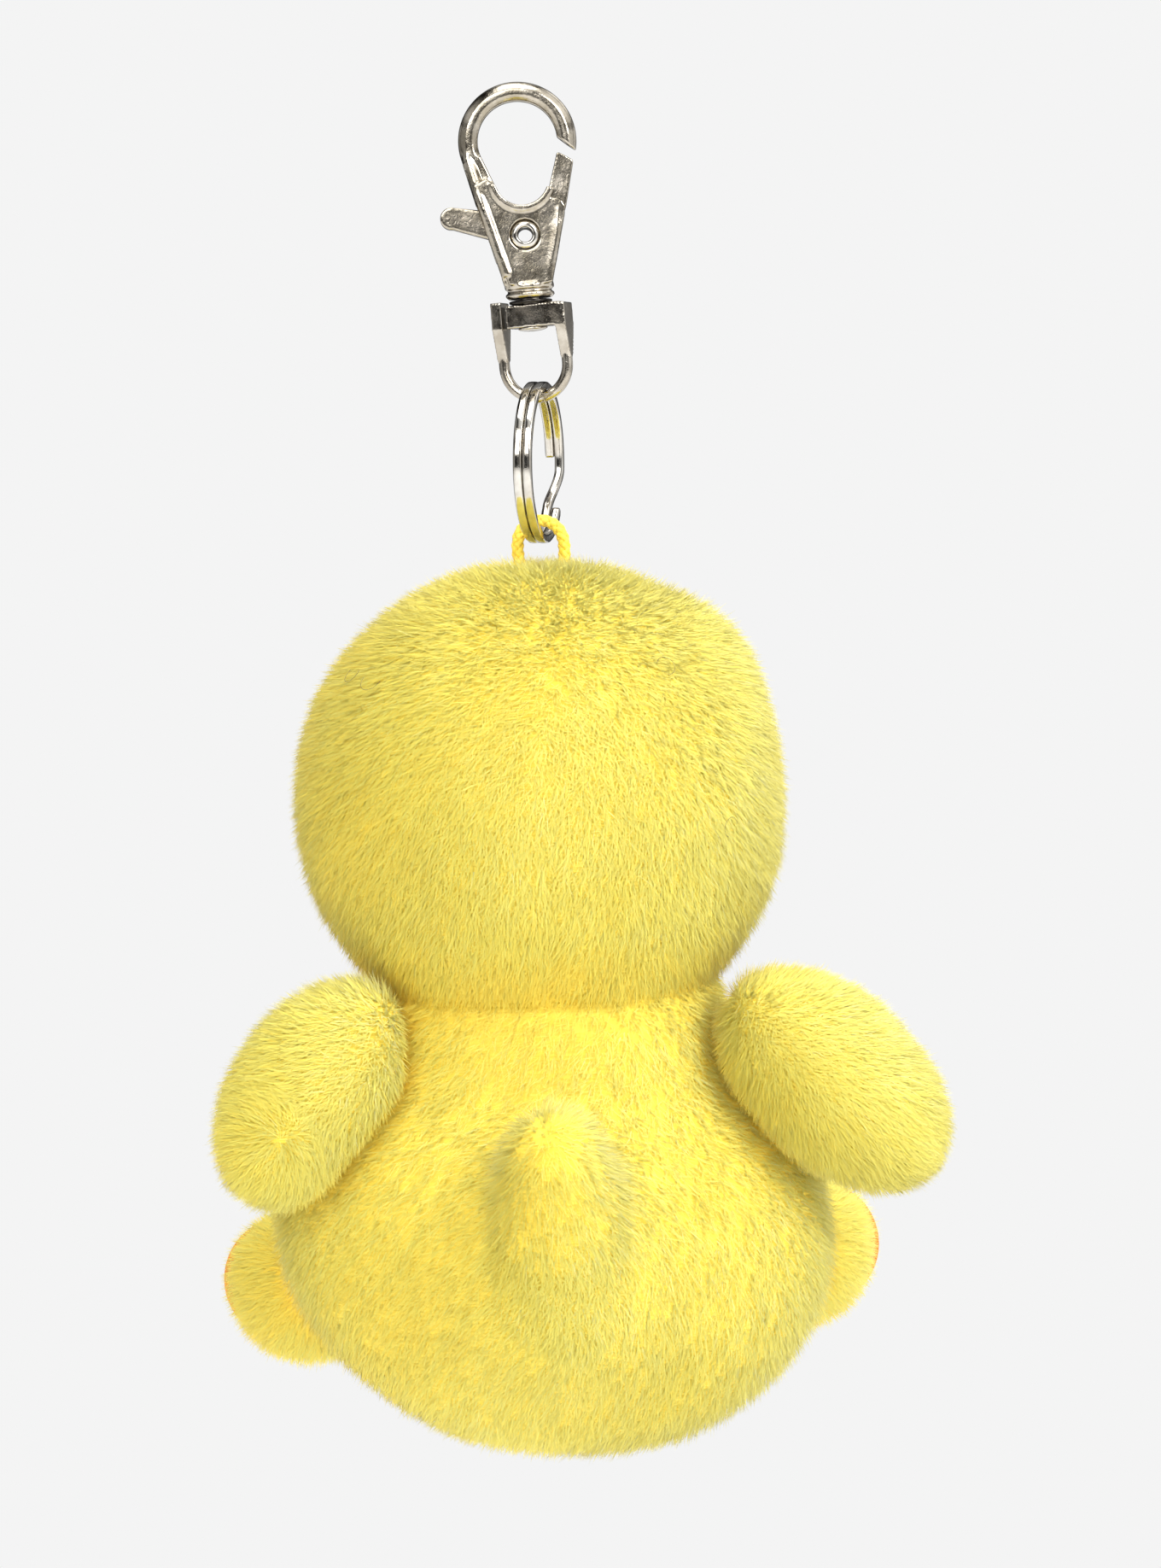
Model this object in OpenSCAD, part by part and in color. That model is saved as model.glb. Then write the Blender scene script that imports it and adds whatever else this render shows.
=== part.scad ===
// Plush chick keychain: a swivel lobster clasp, a two-turn split ring, a braided
// cord loop and a small stuffed chick. Millimetres. +Z is up and the chick's face
// looks along -Y. The origin is the centre of the round seat inside the clasp's hook.

/* [Clasp] */
// Radius of the round seat inside the hook
seat_r = 3.95; // [3.8:0.05:4.1]
// Radius over the outside of the bow
bow_r = 5.9; // [5.8:0.05:6]
// Thickness of the bow, front to back
bow_t = 2.6; // [2.2:0.1:2.8]
// Thickness of the clasp's hollow body, front to back
shell_t = 4.4; // [4.3:0.1:4.8]
// Width of the slot that the gate lever swings in
slot_w = 2.3; // [2.2:0.05:2.4]
// Height of the rivet below the seat's centre
rivet_drop = 9.46; // [9.4:0.02:9.5]
// Radius of the hole through the hollow rivet
rivet_hole_r = 0.7; // [0.6:0.05:0.75]
// Lean of the whole clasp from upright, in degrees
clasp_lean = 4.8; // [0:0.2:5]

/* [Swivel loop and split ring] */
// Radius from the loop's centre to the middle of its wire
loop_r = 3.3; // [3.25:0.05:3.35]
// Radius of the loop's wire
loop_wire_r = 0.55; // [0.5:0.05:0.6]
// Width of the strip at the top of the loop
strip_w = 2.8; // [2.6:0.1:3]
// Turn of the loop about the clasp's axis, in degrees
loop_turn = 18; // [0:1:18]
// Turn of the ring about the vertical, in degrees
ring_turn = 12; // [0:1:14]
// Outer radius of the split ring
ring_r = 8.05; // [7.9:0.05:8.1]
// Width and height of the ring's wire
ring_wire = 0.9; // [0.8:0.05:0.9]

/* [Chick] */
// Radius of the head over its pile
head_r = 24.3; // [23.8:0.1:24.5]
// Half the body's width
body_half_w = 28.5; // [28:0.1:29]
// Radius of the body seen from its side
body_half_h = 23.2; // [22.8:0.1:23.4]
// Thickness of the pile fabric
cover_t = 2.4; // [2:0.1:2.8]
// Half the left wing's length
wing_left_half_l = 13.1; // [12.8:0.1:13.2]
// Half the right wing's length
wing_right_half_l = 14; // [13.6:0.1:14.2]
// Radius of the wing across its length
wing_r = 9; // [8.8:0.1:9.1]
// Half the foot's length
foot_half_l = 11.5; // [11:0.1:12]
// Radius of the foot across its length
foot_r = 8.5; // [8.2:0.1:8.7]
// Radius of an eye's dome
eye_r = 2.3; // [2:0.1:2.6]
// Diameter of the braided cord
cord_d = 1.3; // [1.2:0.05:1.35]

/* [Hidden] */
$fn = 64;

nickel = "silver";
yellow = "khaki";
white = "white";
orange = "orange";

// Gaps
rest_gap = 0.3;     // between soft pieces that move apart
seam_gap = 0.1;     // between soft pieces sewn together
fit_gap = 0.03;     // round a fixed pin
run_gap = 0.07;     // round a turning pin

// The clasp, down its own axis from the seat's centre
throat_r = 2.65;
throat_at = [-0.1, -3.85];
shell_top = -6.2;
shell_bottom = -14.4;
collar_r = 2.46;
collar_bottom = -15.75;
slot_bottom = -13.4;
post_floor = -15;
post_r = 0.88;
lip_w = 0.75;
lip_h = 0.22;
bar_top = -16.3;
bar_bottom = -18.6;
loop_slit = 0.45;
loop_drop = 22.35;
rivet_r = 1.05;
rivet_head_r = 1.38;
head_recess_r = 1.52;
head_recess = 0.35;
lever_t = slot_w - 0.2;
spring_r = 1.75;
spring_wire_r = 0.15;
pocket_in = 1.4;
pocket_out = 2.1;

// The foot of the loop, where the ring hangs, and the foot of the ring, where the cord hangs
hang_z = loop_drop + loop_r;
hang_at = [-hang_z * sin(clasp_lean), 0, -hang_z * cos(clasp_lean)];
ring_in_r = ring_r - ring_wire;
ring_mid_r = ring_r - ring_wire / 2;
ring_gap = 0.18;
ring_at = [hang_at[0], 0, hang_at[2] + loop_wire_r + ring_gap - ring_in_r];

// The split ring's wire, in degrees round the ring: from the free end of the second turn, once
// round to where it crosses over, and once more to the free end of the first turn
ring_from = 217;
ring_cross = 543;
ring_cross_run = 32;
ring_to = 894;
ring_steps = 112;
wire_corner = 0.22;

// The cord's route through the ring and down to its knot, as X and Z
CORD = [[-1.8, -52], [-1.78, -51], [-1.7, -49], [-1.4, -47], [-1, -45], [-0.6, -43.5], [-0.25, -42],
    [-0.05, -40.8], [-0.1, -39.6], [-0.4, -38.8], [-1, -38.2], [-1.7, -37.85], [-2.4, -37.75],
    [-3.15, -37.9], [-3.8, -38.3], [-4.3, -38.9], [-4.6, -39.7], [-4.7, -40.8], [-4.65, -42],
    [-4.4, -43.5], [-3.95, -45], [-3.5, -47], [-3.2, -49], [-3.2, -51], [-3.2, -52]];
cord_sides = 8;
knot_at = [-2.5, 0, -52.2];
knot_r = 1.9;

// The chick
head_at = [-2.3, 0, -65.9];
body_at = [-3.7, 0, -107.9];
body_lean = -10.3;
shoulder_at = [-2.9, 0, -92];
shoulder_r = 19.8;
wing_left_at = [19.5, 12.3, -94.4];
wing_left_lean = -34.7;
wing_left_pivot = [12, 12.3, -86];
wing_right_at = [-31, 11, -92.9];
wing_right_lean = 47.3;
wing_right_pivot = [-22, 11, -84.5];
wing_lift = 30;
foot_left_at = [21.1, -15, -114.5];
foot_right_at = [-27.8, -15, -110.9];
foot_splay = 20;
tail_base = [-4.3, 17, -112];
tail_base_r = 10.5;
tail_tip = [-3.9, 28, -100];
tail_tip_r = 5.8;
beak_at = [-2.3, -23.5, -69.8];
beak_half_l = 6.5;
beak_r = 3.9;
beak_droop = 12;
beak_cover_t = 0.7;
eye_turn = 27;
eye_rise = 6;
shank_r = 1.05;
washer_r = 3.6;
washer_t = 0.8;
pouch_at = [-1, -5, -118.6];
pouch_r = 7.2;
sole_t = 0.8;
sole_from_end = 2.2;

// ---- Helpers ----

// Places children in the leaning clasp's own frame
module on_clasp() rotate([0, clasp_lean, 0]) children();

// Turns children about the axis that they hang on
module turned(turn) rotate([0, 0, -turn]) children();

// An XZ outline, given a thickness along Y about the middle plane
module plate(t) rotate([90, 0, 0]) linear_extrude(t, center = true) children();

// A solid of revolution about the Y axis at height z
module about_y(z) translate([0, 0, z]) rotate([90, 0, 0]) children();

// Half an ellipse of half length a and radius b, beside the axis of a revolve
function half_oval(a, b, n = 20) =
    [for (i = [0:n]) [i == 0 || i == n ? 0 : b * sin(180 * i / n), -a * cos(180 * i / n)]];

// An egg of revolution, long half length a along Z and radius b
module egg(a, b) rotate_extrude($fn = 48) polygon(half_oval(a, b));

// Points on an arc of radius r about height h on a revolve's axis, from angle a to b up from level
function arc(h, r, a, b, n) = [for (i = [0:n]) let (q = a + (b - a) * i / n)
    [abs(q) == 90 ? 0 : r * cos(q), h + r * sin(q)]];

// A stuffed finger from p1 to p2: an arc of radius r1, a straight taper and an arc of radius r2
module bean(p1, r1, p2, r2) {
    run = p2 - p1;
    d = norm(run);
    tilt = asin((r1 - r2) / d);
    translate(p1) rotate([0, acos(run[2] / d), atan2(run[1], run[0])]) rotate_extrude($fn = 48)
        polygon(concat(arc(0, r1, -90, tilt, 10), arc(d, r2, tilt, 90, 6)));
}

// A closed tube of n-sided sections: rings is a list of lists of points
module skin(rings) {
    n = len(rings[0]);
    last = len(rings) - 1;
    sides = [for (i = [0:last - 1], j = [0:n - 1])
        [i * n + j, i * n + (j + 1) % n, (i + 1) * n + (j + 1) % n, (i + 1) * n + j]];
    start = [[for (j = [n - 1:-1:0]) j]];
    end = [[for (j = [0:n - 1]) last * n + j]];
    polyhedron([for (r = rings, p = r) p], concat(sides, start, end), convexity = 6);
}

// Direction of a flat route at its point i
function heading(route, i) =
    let (a = route[max(i - 1, 0)], b = route[min(i + 1, len(route) - 1)]) (b - a) / norm(b - a);

// Unit vector from the head's centre to an eye, on side +1 or -1
function eye_way(side) =
    [side * sin(eye_turn) * cos(eye_rise), -cos(eye_turn) * cos(eye_rise), sin(eye_rise)];

// Children's Z axis laid along the line from the head's centre through an eye
module at_eye(side) translate(head_at)
    rotate([0, 90 - eye_rise, atan2(eye_way(side)[1], eye_way(side)[0])]) children();

// ---- Clasp ----

// The egg-shaped opening inside the hook, grown all round: seat, throat and the straight sides
module opening_outline() {
    lean = asin((seat_r - throat_r) / norm(throat_at));
    seat = seat_r * [cos(lean), -sin(lean)];
    throat = throat_r * [cos(lean), -sin(lean)];
    circle(seat_r);
    translate(throat_at) circle(throat_r);
    polygon([seat, throat_at + throat, throat_at + [-throat[0], throat[1]], [-seat[0], seat[1]]]);
}

// Section of the bow: a flat inner wall, bevelled faces and a rounded outside
module bow_section() {
    h = bow_t / 2;
    polygon([[seat_r, -h + 0.45], [seat_r + 0.5, -h], [bow_r - 0.75, -h], [bow_r - 0.2, -h + 0.5],
        [bow_r, -0.4], [bow_r, 0.4], [bow_r - 0.2, h - 0.5], [bow_r - 0.75, h],
        [seat_r + 0.5, h], [seat_r, h - 0.45]]);
}

module bow() {
    difference() {
        about_y(0) rotate([0, 0, -22]) rotate_extrude(angle = 220) bow_section();
        // the nose, cut off aslant, where the gate meets it
        translate([-4.75, 0, -0.62]) rotate([0, -40.5, 0]) translate([0, 0, -2])
            cube([6, 6, 4], center = true);
    }
}

// The hollow body, under the opening
module shell_outline() {
    polygon([[4.75, -4.2], [3.95, -6.9], [1.95, shell_bottom], [-2.3, shell_bottom],
        [-4.1, -7.6], [-4.2, -6.9], [-3.9, -6.35], [-3.3, -6.05], [-1.6, -6], [1.5, -5.6], [3.4, -3.6]]);
}

// The bow's straight side, which runs on down the body's edge to the collar
module side_outline() {
    polygon([[5.62, -1.9], [4.56, -6.49], [2.46, shell_bottom], [1, shell_bottom], [2, -8],
        [2, -4.6], [3.6, -1.4], [4.4, -1]]);
}

// The raised lip round the bottom of the opening
module lip() {
    h = shell_t / 2;
    translate([throat_at[0], 0, throat_at[1]]) rotate([90, 0, 0]) rotate([0, 0, 202])
        rotate_extrude(angle = 152) translate([throat_r, 0])
            polygon([[-0.2, -h - lip_h], [lip_w - 0.2, -h - lip_h], [lip_w, -h + 0.1],
                [lip_w, h - 0.1], [lip_w - 0.2, h + lip_h], [-0.2, h + lip_h]]);
}

// Material: cast zinc, nickel plated. The hollow hook that everything hangs from.
module hook_body() color(nickel) on_clasp() difference() {
    union() {
        bow();
        difference() {
            union() {
                plate(bow_t) side_outline();
                plate(shell_t) shell_outline();
                lip();
            }
            plate(shell_t + 2) opening_outline();
        }
        translate([0, 0, collar_bottom]) rotate_extrude() polygon([[0, 0], [collar_r - 0.35, 0],
            [collar_r, 0.3], [collar_r, 0.55], [collar_r - 0.3, 0.65], [collar_r - 0.3, 0.9],
            [collar_r, 1], [collar_r, 1.4], [0, 1.8]]);
    }
    // slot for the lever, open at both sides and up into the hook
    translate([-8, -slot_w / 2, slot_bottom]) cube([16, slot_w, shell_top - slot_bottom]);
    translate([-8, -slot_w / 2, slot_bottom]) cube([9.8, slot_w, 9.2]);
    // rivet hole and the recesses for its rolled heads
    about_y(-rivet_drop) cylinder(h = 8, r = rivet_r + fit_gap, center = true);
    for (s = [-1, 1]) translate([0, s * shell_t / 2, -rivet_drop]) rotate([90, 0, 0])
        cylinder(h = 2 * head_recess, r = head_recess_r, center = true);
    // socket for the swivel post's head, and the hole for its neck
    translate([0, 0, post_floor]) cylinder(h = 1.8, r = 1.6);
    translate([0, 0, collar_bottom - 1]) cylinder(h = 2, r = post_r + run_gap);
}

// Material: nickel-plated brass tube, its ends rolled over in the recesses.
module gate_rivet() color(nickel) on_clasp() about_y(-rivet_drop) {
    seat = shell_t / 2 - head_recess + 0.02;
    rotate_extrude() polygon([[rivet_hole_r, -seat - 0.3], [rivet_hole_r + 0.2, -seat - 0.4],
        [rivet_head_r - 0.15, -seat - 0.32], [rivet_head_r, -seat - 0.15], [rivet_head_r, -seat],
        [rivet_r, -seat], [rivet_r, seat], [rivet_head_r, seat], [rivet_head_r, seat + 0.15],
        [rivet_head_r - 0.15, seat + 0.32], [rivet_hole_r + 0.2, seat + 0.4],
        [rivet_hole_r, seat + 0.3]]);
}

// Material: spring wire. It lies in the lever's round pocket and shuts the gate.
module gate_spring() color("dimgray") on_clasp() about_y(-rivet_drop) {
    turns = 2.6;
    steps = 40;
    skin([for (i = [0:steps]) let (a = 360 * turns * i / steps, rise = -0.85 + 0.9 * i / steps)
        [for (k = [0:5]) let (q = spring_r + spring_wire_r * cos(60 * k))
            [q * cos(a), q * sin(a), rise + spring_wire_r * sin(60 * k)]]]);
}

module gate_outline() {
    polygon([[-1.5, -7.4], [-2.45, -5.87], [-3.78, -1.6], [-3.95, -1.45], [-5.3, -2.3],
        [-5.38, -2.5], [-4.3, -6.9], [-3.3, -9.2], [-2, -10.5], [0, -8.5]]);
}

module tab_outline() {
    translate([7.2, -7.2]) circle(1.1);
    polygon([[0, -7.0], [2.2, -6.95], [4.4, -6.6], [7.1, -6.1], [7.9, -8.05], [7.1, -8.3],
        [3.5, -9.6], [3.55, -10.1], [3.1, -12], [2, -12.3], [0, -11.8]]);
}

// Material: cast zinc, nickel plated. Gate arm, hub and thumb tab in one piece.
module gate_lever() color(nickel) on_clasp() difference() {
    union() {
        plate(lever_t - 0.3) gate_outline();
        plate(lever_t) {
            translate([0, -rivet_drop]) circle(2.55);
            tab_outline();
        }
    }
    about_y(-rivet_drop) {
        cylinder(h = 6, r = rivet_r + run_gap, center = true);
        translate([0, 0, -lever_t]) difference() {
            cylinder(h = lever_t + 0.25, r = pocket_out);
            cylinder(h = lever_t + 0.25, r = pocket_in);
        }
    }
}

// ---- Swivel loop, post and washer ----

// Material: formed steel strip, nickel plated. Its free end stands beside the bar with a slit between.
module swivel_loop() color(nickel) on_clasp() turned(loop_turn) difference() {
    union() {
        translate([0, 0, -loop_drop]) rotate([90, 0, 0]) rotate([0, 0, 180])
            rotate_extrude(angle = 180) translate([loop_r, 0]) circle(loop_wire_r, $fn = 32);
        for (s = [-1, 1]) translate([s * loop_r, 0, 0]) loop_leg(s > 0 ? -15.9 : bar_top - 0.1);
        translate([-loop_r, -strip_w / 2, bar_bottom])
            cube([2 * loop_r - loop_wire_r - loop_slit, strip_w, bar_top - bar_bottom]);
    }
    translate([0, 0, -20]) cylinder(h = 5, r = post_r + fit_gap);
}

// A leg of the loop, a wide strip at the top that narrows to the wire
module loop_leg(top) {
    rotate([90, 0, 90]) linear_extrude(2 * loop_wire_r, center = true)
        polygon([[-strip_w / 2, top], [strip_w / 2, top], [strip_w / 2, bar_bottom],
            [loop_wire_r - 0.1, -loop_drop + 0.6], [-loop_wire_r + 0.1, -loop_drop + 0.6],
            [-strip_w / 2, bar_bottom]]);
    translate([0, 0, -loop_drop]) cylinder(h = 2.2, r = loop_wire_r, $fn = 32);
}

// Material: steel, nickel plated. It turns in the clasp's collar and is peened below the bar.
module swivel_post() color(nickel) on_clasp() rotate_extrude() polygon([
    [0, -14.15], [1.1, -14.2], [1.45, -14.5], [1.45, post_floor + 0.03], [post_r, post_floor + 0.03],
    [post_r, bar_bottom - 0.02], [1.5, bar_bottom - 0.02], [1.4, bar_bottom - 0.22],
    [0.8, bar_bottom - 0.36], [0, bar_bottom - 0.4]]);

// Material: blackened steel. It keeps the bar off the collar.
module swivel_washer() color("dimgray") on_clasp() translate([0, 0, -16.24]) difference() {
    cylinder(h = 0.38, r = 2.15);
    translate([0, 0, -1]) cylinder(h = 3, r = post_r + fit_gap);
}

// ---- Split ring ----

// Corners of the wire's section about its middle: a square with its edges taken off
function wire_corners() = let (w = ring_wire / 2, e = w - wire_corner)
    [[-w, -e], [-e, -w], [e, -w], [w, -e], [w, e], [e, w], [-e, w], [-w, e]];

// The wire's section at angle a round the ring and distance mid along the ring's axis
function ring_section(a, mid) = [for (p = wire_corners())
    [(ring_mid_r + p[0]) * cos(a), (ring_mid_r + p[0]) * sin(a), mid + p[1]]];

// How far the wire has crossed from the second turn to the first, 0 to 1, at angle a
function crossed(a) =
    let (k = min(max((a - ring_cross) / ring_cross_run, 0), 1)) k * k * (3 - 2 * k);

// Material: hardened steel, nickel plated. Two turns side by side, joined by a crossing.
module split_ring() color(nickel) translate(ring_at) turned(ring_turn) rotate([90, 0, 90]) {
    mid = ring_wire / 2 + 0.03;
    step = (ring_to - ring_from) / ring_steps;
    skin([for (i = [0:ring_steps]) let (a = ring_from + step * i)
        ring_section(a, mid * (2 * crossed(a) - 1))]);
}

// ---- Cord ----

// Material: braided polyester. Its ends are knotted inside the head.
module cord_loop() color("gold")
    skin([for (i = [0:len(CORD) - 1]) let (t = heading(CORD, i), p = CORD[i])
        [for (k = [0:cord_sides - 1]) let (a = 360 * k / cord_sides, s = cord_d / 2 * cos(a))
            [p[0] + s * t[1], cord_d / 2 * sin(a), p[1] - s * t[0]]]]);

module cord_knot() color("gold") {
    translate(knot_at) sphere(knot_r);
    translate(knot_at + [0, 0, -1.6]) sphere(knot_r - 0.5);
}

// ---- Chick ----

// The head, shrunk by inset
module head_shape(inset = 0) translate(head_at) sphere(head_r - inset);

// The body, shrunk by inset: a wide egg on its side with round shoulders
module body_shape(inset = 0) {
    translate(body_at) rotate([0, 90 + body_lean, 0]) egg(body_half_w - inset, body_half_h - inset);
    translate(shoulder_at) sphere(shoulder_r - inset);
}

module head_cover() color(yellow) difference() {
    head_shape();
    head_shape(cover_t);
    for (s = [-1, 1]) at_eye(s) cylinder(h = 30, r = shank_r + fit_gap);
}

module head_filling() color(white) difference() {
    head_shape(cover_t + seam_gap);
    translate([knot_at[0], 0, knot_at[2] - 4]) cylinder(h = 20, r = 3.3);
    for (s = [-1, 1]) at_eye(s) {
        translate([0, 0, 20.5]) cylinder(h = 6, r = washer_r + 0.2);
        translate([0, 0, 16]) cylinder(h = 8, r = shank_r + 0.3);
    }
}

// A safety eye: a dome outside, and a shank through the cover
module eye(side) color("black") at_eye(side) {
    seat = sqrt(pow(head_r, 2) - pow(eye_r, 2)) + 0.05;
    intersection() {
        translate([0, 0, seat]) sphere(eye_r);
        translate([0, 0, head_r + 0.05]) cylinder(h = 4, r = eye_r + 1);
    }
    translate([0, 0, 16.5]) cylinder(h = head_r - 16, r = shank_r);
}

module eye_left() eye(1);
module eye_right() eye(-1);

module eye_washers() color(white) for (s = [-1, 1]) at_eye(s) translate([0, 0, 20.7]) difference() {
    cylinder(h = washer_t, r = washer_r);
    translate([0, 0, -1]) cylinder(h = 4, r = shank_r + fit_gap);
}

module beak_shape(inset = 0)
    translate(beak_at) rotate([90 + beak_droop, 0, 0]) egg(beak_half_l - inset, beak_r - inset);

module beak_cover() color(orange) difference() {
    beak_shape();
    beak_shape(beak_cover_t);
    head_shape(-0.05);
}

module beak_filling() color(white) difference() {
    beak_shape(beak_cover_t + 0.05);
    head_shape(-0.1);
}

module body_cover() color(yellow) difference() {
    body_shape();
    body_shape(cover_t);
    head_shape(-seam_gap);
}

module body_filling() color(white) difference() {
    body_shape(cover_t + seam_gap);
    head_shape(-seam_gap - 0.1);
    translate(pouch_at) sphere(pouch_r + seam_gap);
}

// Material: cloth bag of plastic pellets. It makes the chick hang straight and sit.
module pellet_pouch() color("beige") translate(pouch_at) sphere(pouch_r);

module tail_shape(inset = 0) bean(tail_base, tail_base_r - inset, tail_tip, tail_tip_r - inset);

module tail_cover() color(yellow) difference() {
    tail_shape();
    tail_shape(cover_t);
    body_shape(-seam_gap);
}

module tail_filling() color(white) difference() {
    tail_shape(cover_t + seam_gap);
    body_shape(-2 * seam_gap);
}

// A wing before it is cut to the body's side, shrunk by inset
module wing_egg(at, lean, half_l, inset)
    translate(at) rotate([0, lean, 0]) egg(half_l - inset, wing_r - inset);

// What a wing has to clear: the body and head, at rest and with the wing lifted
module wing_stop(pivot, lift) {
    body_shape(-rest_gap);
    head_shape(-rest_gap);
    translate(pivot) rotate([0, lift, 0]) translate(-pivot) {
        body_shape(-rest_gap);
        head_shape(-rest_gap);
    }
}

module wing_cover(at, lean, half_l, pivot, lift) color(yellow) difference() {
    wing_egg(at, lean, half_l, 0);
    wing_egg(at, lean, half_l, cover_t);
    wing_stop(pivot, lift);
}

module wing_filling(at, lean, half_l, pivot, lift) color(white) difference() {
    wing_egg(at, lean, half_l, cover_t + seam_gap);
    wing_stop(pivot, lift);
}

module wing_left_cover()
    wing_cover(wing_left_at, wing_left_lean, wing_left_half_l, wing_left_pivot, wing_lift);
module wing_left_filling()
    wing_filling(wing_left_at, wing_left_lean, wing_left_half_l, wing_left_pivot, wing_lift);
module wing_right_cover()
    wing_cover(wing_right_at, wing_right_lean, wing_right_half_l, wing_right_pivot, -wing_lift);
module wing_right_filling()
    wing_filling(wing_right_at, wing_right_lean, wing_right_half_l, wing_right_pivot, -wing_lift);

// A foot on side +1 or -1 before it is cut to the body, shrunk by inset
module foot_egg(side, inset) at_foot(side) egg(foot_half_l - inset, foot_r - inset);

// Children's Z axis laid along a foot, out of its sole
module at_foot(side) translate(side > 0 ? foot_left_at : foot_right_at)
    rotate([90, 0, side * foot_splay]) children();

// Material: felt sole, over the end of the foot
module foot_sole(side) difference() {
    intersection() {
        foot_egg(side, -0.1 - sole_t);
        at_foot(side) translate([0, 0, foot_half_l - sole_from_end]) cylinder(h = 9, r = 20);
    }
    foot_egg(side, -0.1);
}

module foot_cover(side) color(yellow) difference() {
    foot_egg(side, 0);
    foot_egg(side, cover_t);
    body_shape(-seam_gap);
}

module foot_filling(side) color(white) difference() {
    foot_egg(side, cover_t + seam_gap);
    body_shape(-2 * seam_gap);
}

module foot_left_cover() foot_cover(1);
module foot_left_filling() foot_filling(1);
module foot_right_cover() foot_cover(-1);
module foot_right_filling() foot_filling(-1);
module foot_soles() color(orange) for (s = [-1, 1]) foot_sole(s);

hook_body();
gate_rivet();
gate_spring();
gate_lever();
swivel_loop();
swivel_post();
swivel_washer();
split_ring();
cord_loop();
cord_knot();
head_cover();
head_filling();
eye_left();
eye_right();
eye_washers();
beak_cover();
beak_filling();
body_cover();
body_filling();
pellet_pouch();
tail_cover();
tail_filling();
wing_left_cover();
wing_left_filling();
wing_right_cover();
wing_right_filling();
foot_left_cover();
foot_left_filling();
foot_right_cover();
foot_right_filling();
foot_soles();
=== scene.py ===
# %% [markdown]
# # A stuffed chick on a lobster clasp
#
# This notebook dresses the engineered frame of a plush keychain. The frame already holds every
# sub-part at its true size and place, so each piece made here is worked out in that same frame.
# We go from the outside in: camera, light, the cord, the nickel-plated hardware, then the chick,
# whose pile is made of real fibres, because a soft outline is the first thing an eye looks for.

# %% Load the frame
import math

import bmesh
import bpy
import numpy as np
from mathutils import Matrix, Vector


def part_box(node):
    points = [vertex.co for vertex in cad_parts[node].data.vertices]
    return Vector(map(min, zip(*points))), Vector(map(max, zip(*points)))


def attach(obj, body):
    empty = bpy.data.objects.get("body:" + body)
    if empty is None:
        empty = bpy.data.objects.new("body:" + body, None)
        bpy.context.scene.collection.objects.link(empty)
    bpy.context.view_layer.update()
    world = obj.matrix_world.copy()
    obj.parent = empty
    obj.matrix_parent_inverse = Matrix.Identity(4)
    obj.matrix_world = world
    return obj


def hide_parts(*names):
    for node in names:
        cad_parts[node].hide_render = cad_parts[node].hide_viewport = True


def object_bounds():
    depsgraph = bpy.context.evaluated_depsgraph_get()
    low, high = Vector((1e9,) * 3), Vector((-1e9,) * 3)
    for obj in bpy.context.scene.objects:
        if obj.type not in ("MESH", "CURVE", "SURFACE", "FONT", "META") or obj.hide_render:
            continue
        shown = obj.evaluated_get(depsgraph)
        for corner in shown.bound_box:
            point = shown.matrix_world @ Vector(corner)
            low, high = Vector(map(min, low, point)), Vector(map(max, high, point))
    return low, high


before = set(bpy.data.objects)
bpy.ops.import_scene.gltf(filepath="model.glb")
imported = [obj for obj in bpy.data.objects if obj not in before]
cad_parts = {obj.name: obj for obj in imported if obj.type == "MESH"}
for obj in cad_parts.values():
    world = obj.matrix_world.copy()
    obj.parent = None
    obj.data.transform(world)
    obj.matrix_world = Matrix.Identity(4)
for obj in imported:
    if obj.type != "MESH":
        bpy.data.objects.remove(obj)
cad_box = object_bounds()
MM = 0.001
UP = np.array([0.0, 0.0, 1.0])
BACK = np.array([0.0, 1.0, 0.0])
print("frame, in mm:", [[round(float(c) / MM, 1) for c in corner] for corner in cad_box])

# %% [markdown]
# ## Camera
#
# The chick is seen from its back, level, through a long lens, which keeps the near tail and the
# far wings in proportion. The view is a little wider than the keychain is tall, and the keychain
# stands left of the middle. The distance follows from the lens: the frame's height is to the
# distance as the sensor is to the focal length.

# %% Make the camera
lens, sensor = 200.0, 36.0
view_height = 156.1 * MM
view_centre = (-6.3 * MM, -64.0 * MM)
distance = view_height * lens / sensor

camera = bpy.data.objects.new("camera", bpy.data.cameras.new("camera"))
camera.data.lens, camera.data.sensor_width = lens, sensor
camera.data.clip_end = 10.0
camera.location = (view_centre[0], distance, view_centre[1])
camera.rotation_euler = (math.radians(90), 0, math.radians(180))
bpy.context.scene.collection.objects.link(camera)
bpy.context.scene.camera = camera
print("camera stands off by", round(distance, 3), "m")

# %% [markdown]
# ## Light
#
# Yellow pile needs a broad soft light, and plated metal needs something to reflect: it is only as
# bright as the room around it. So the room itself is a studio: bright above and to one side, dim
# on the other, with dark edges between, which draw the dark lines that make metal read as metal.
# The eye sees a plain pale backdrop. Three lamps help: a key lamp models the folds, a broad one
# near the eye fills their shade, and one overhead lights the crown.

# %% Build the studio room
scene = bpy.context.scene
scene.view_settings.view_transform = "Standard"
BACKDROP, ROOM_POWER = 0.905, 2.15
MIRROR_CONTRAST = 1.9
world = bpy.data.worlds.new("studio")
world.use_nodes = True
scene.world = world


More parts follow.
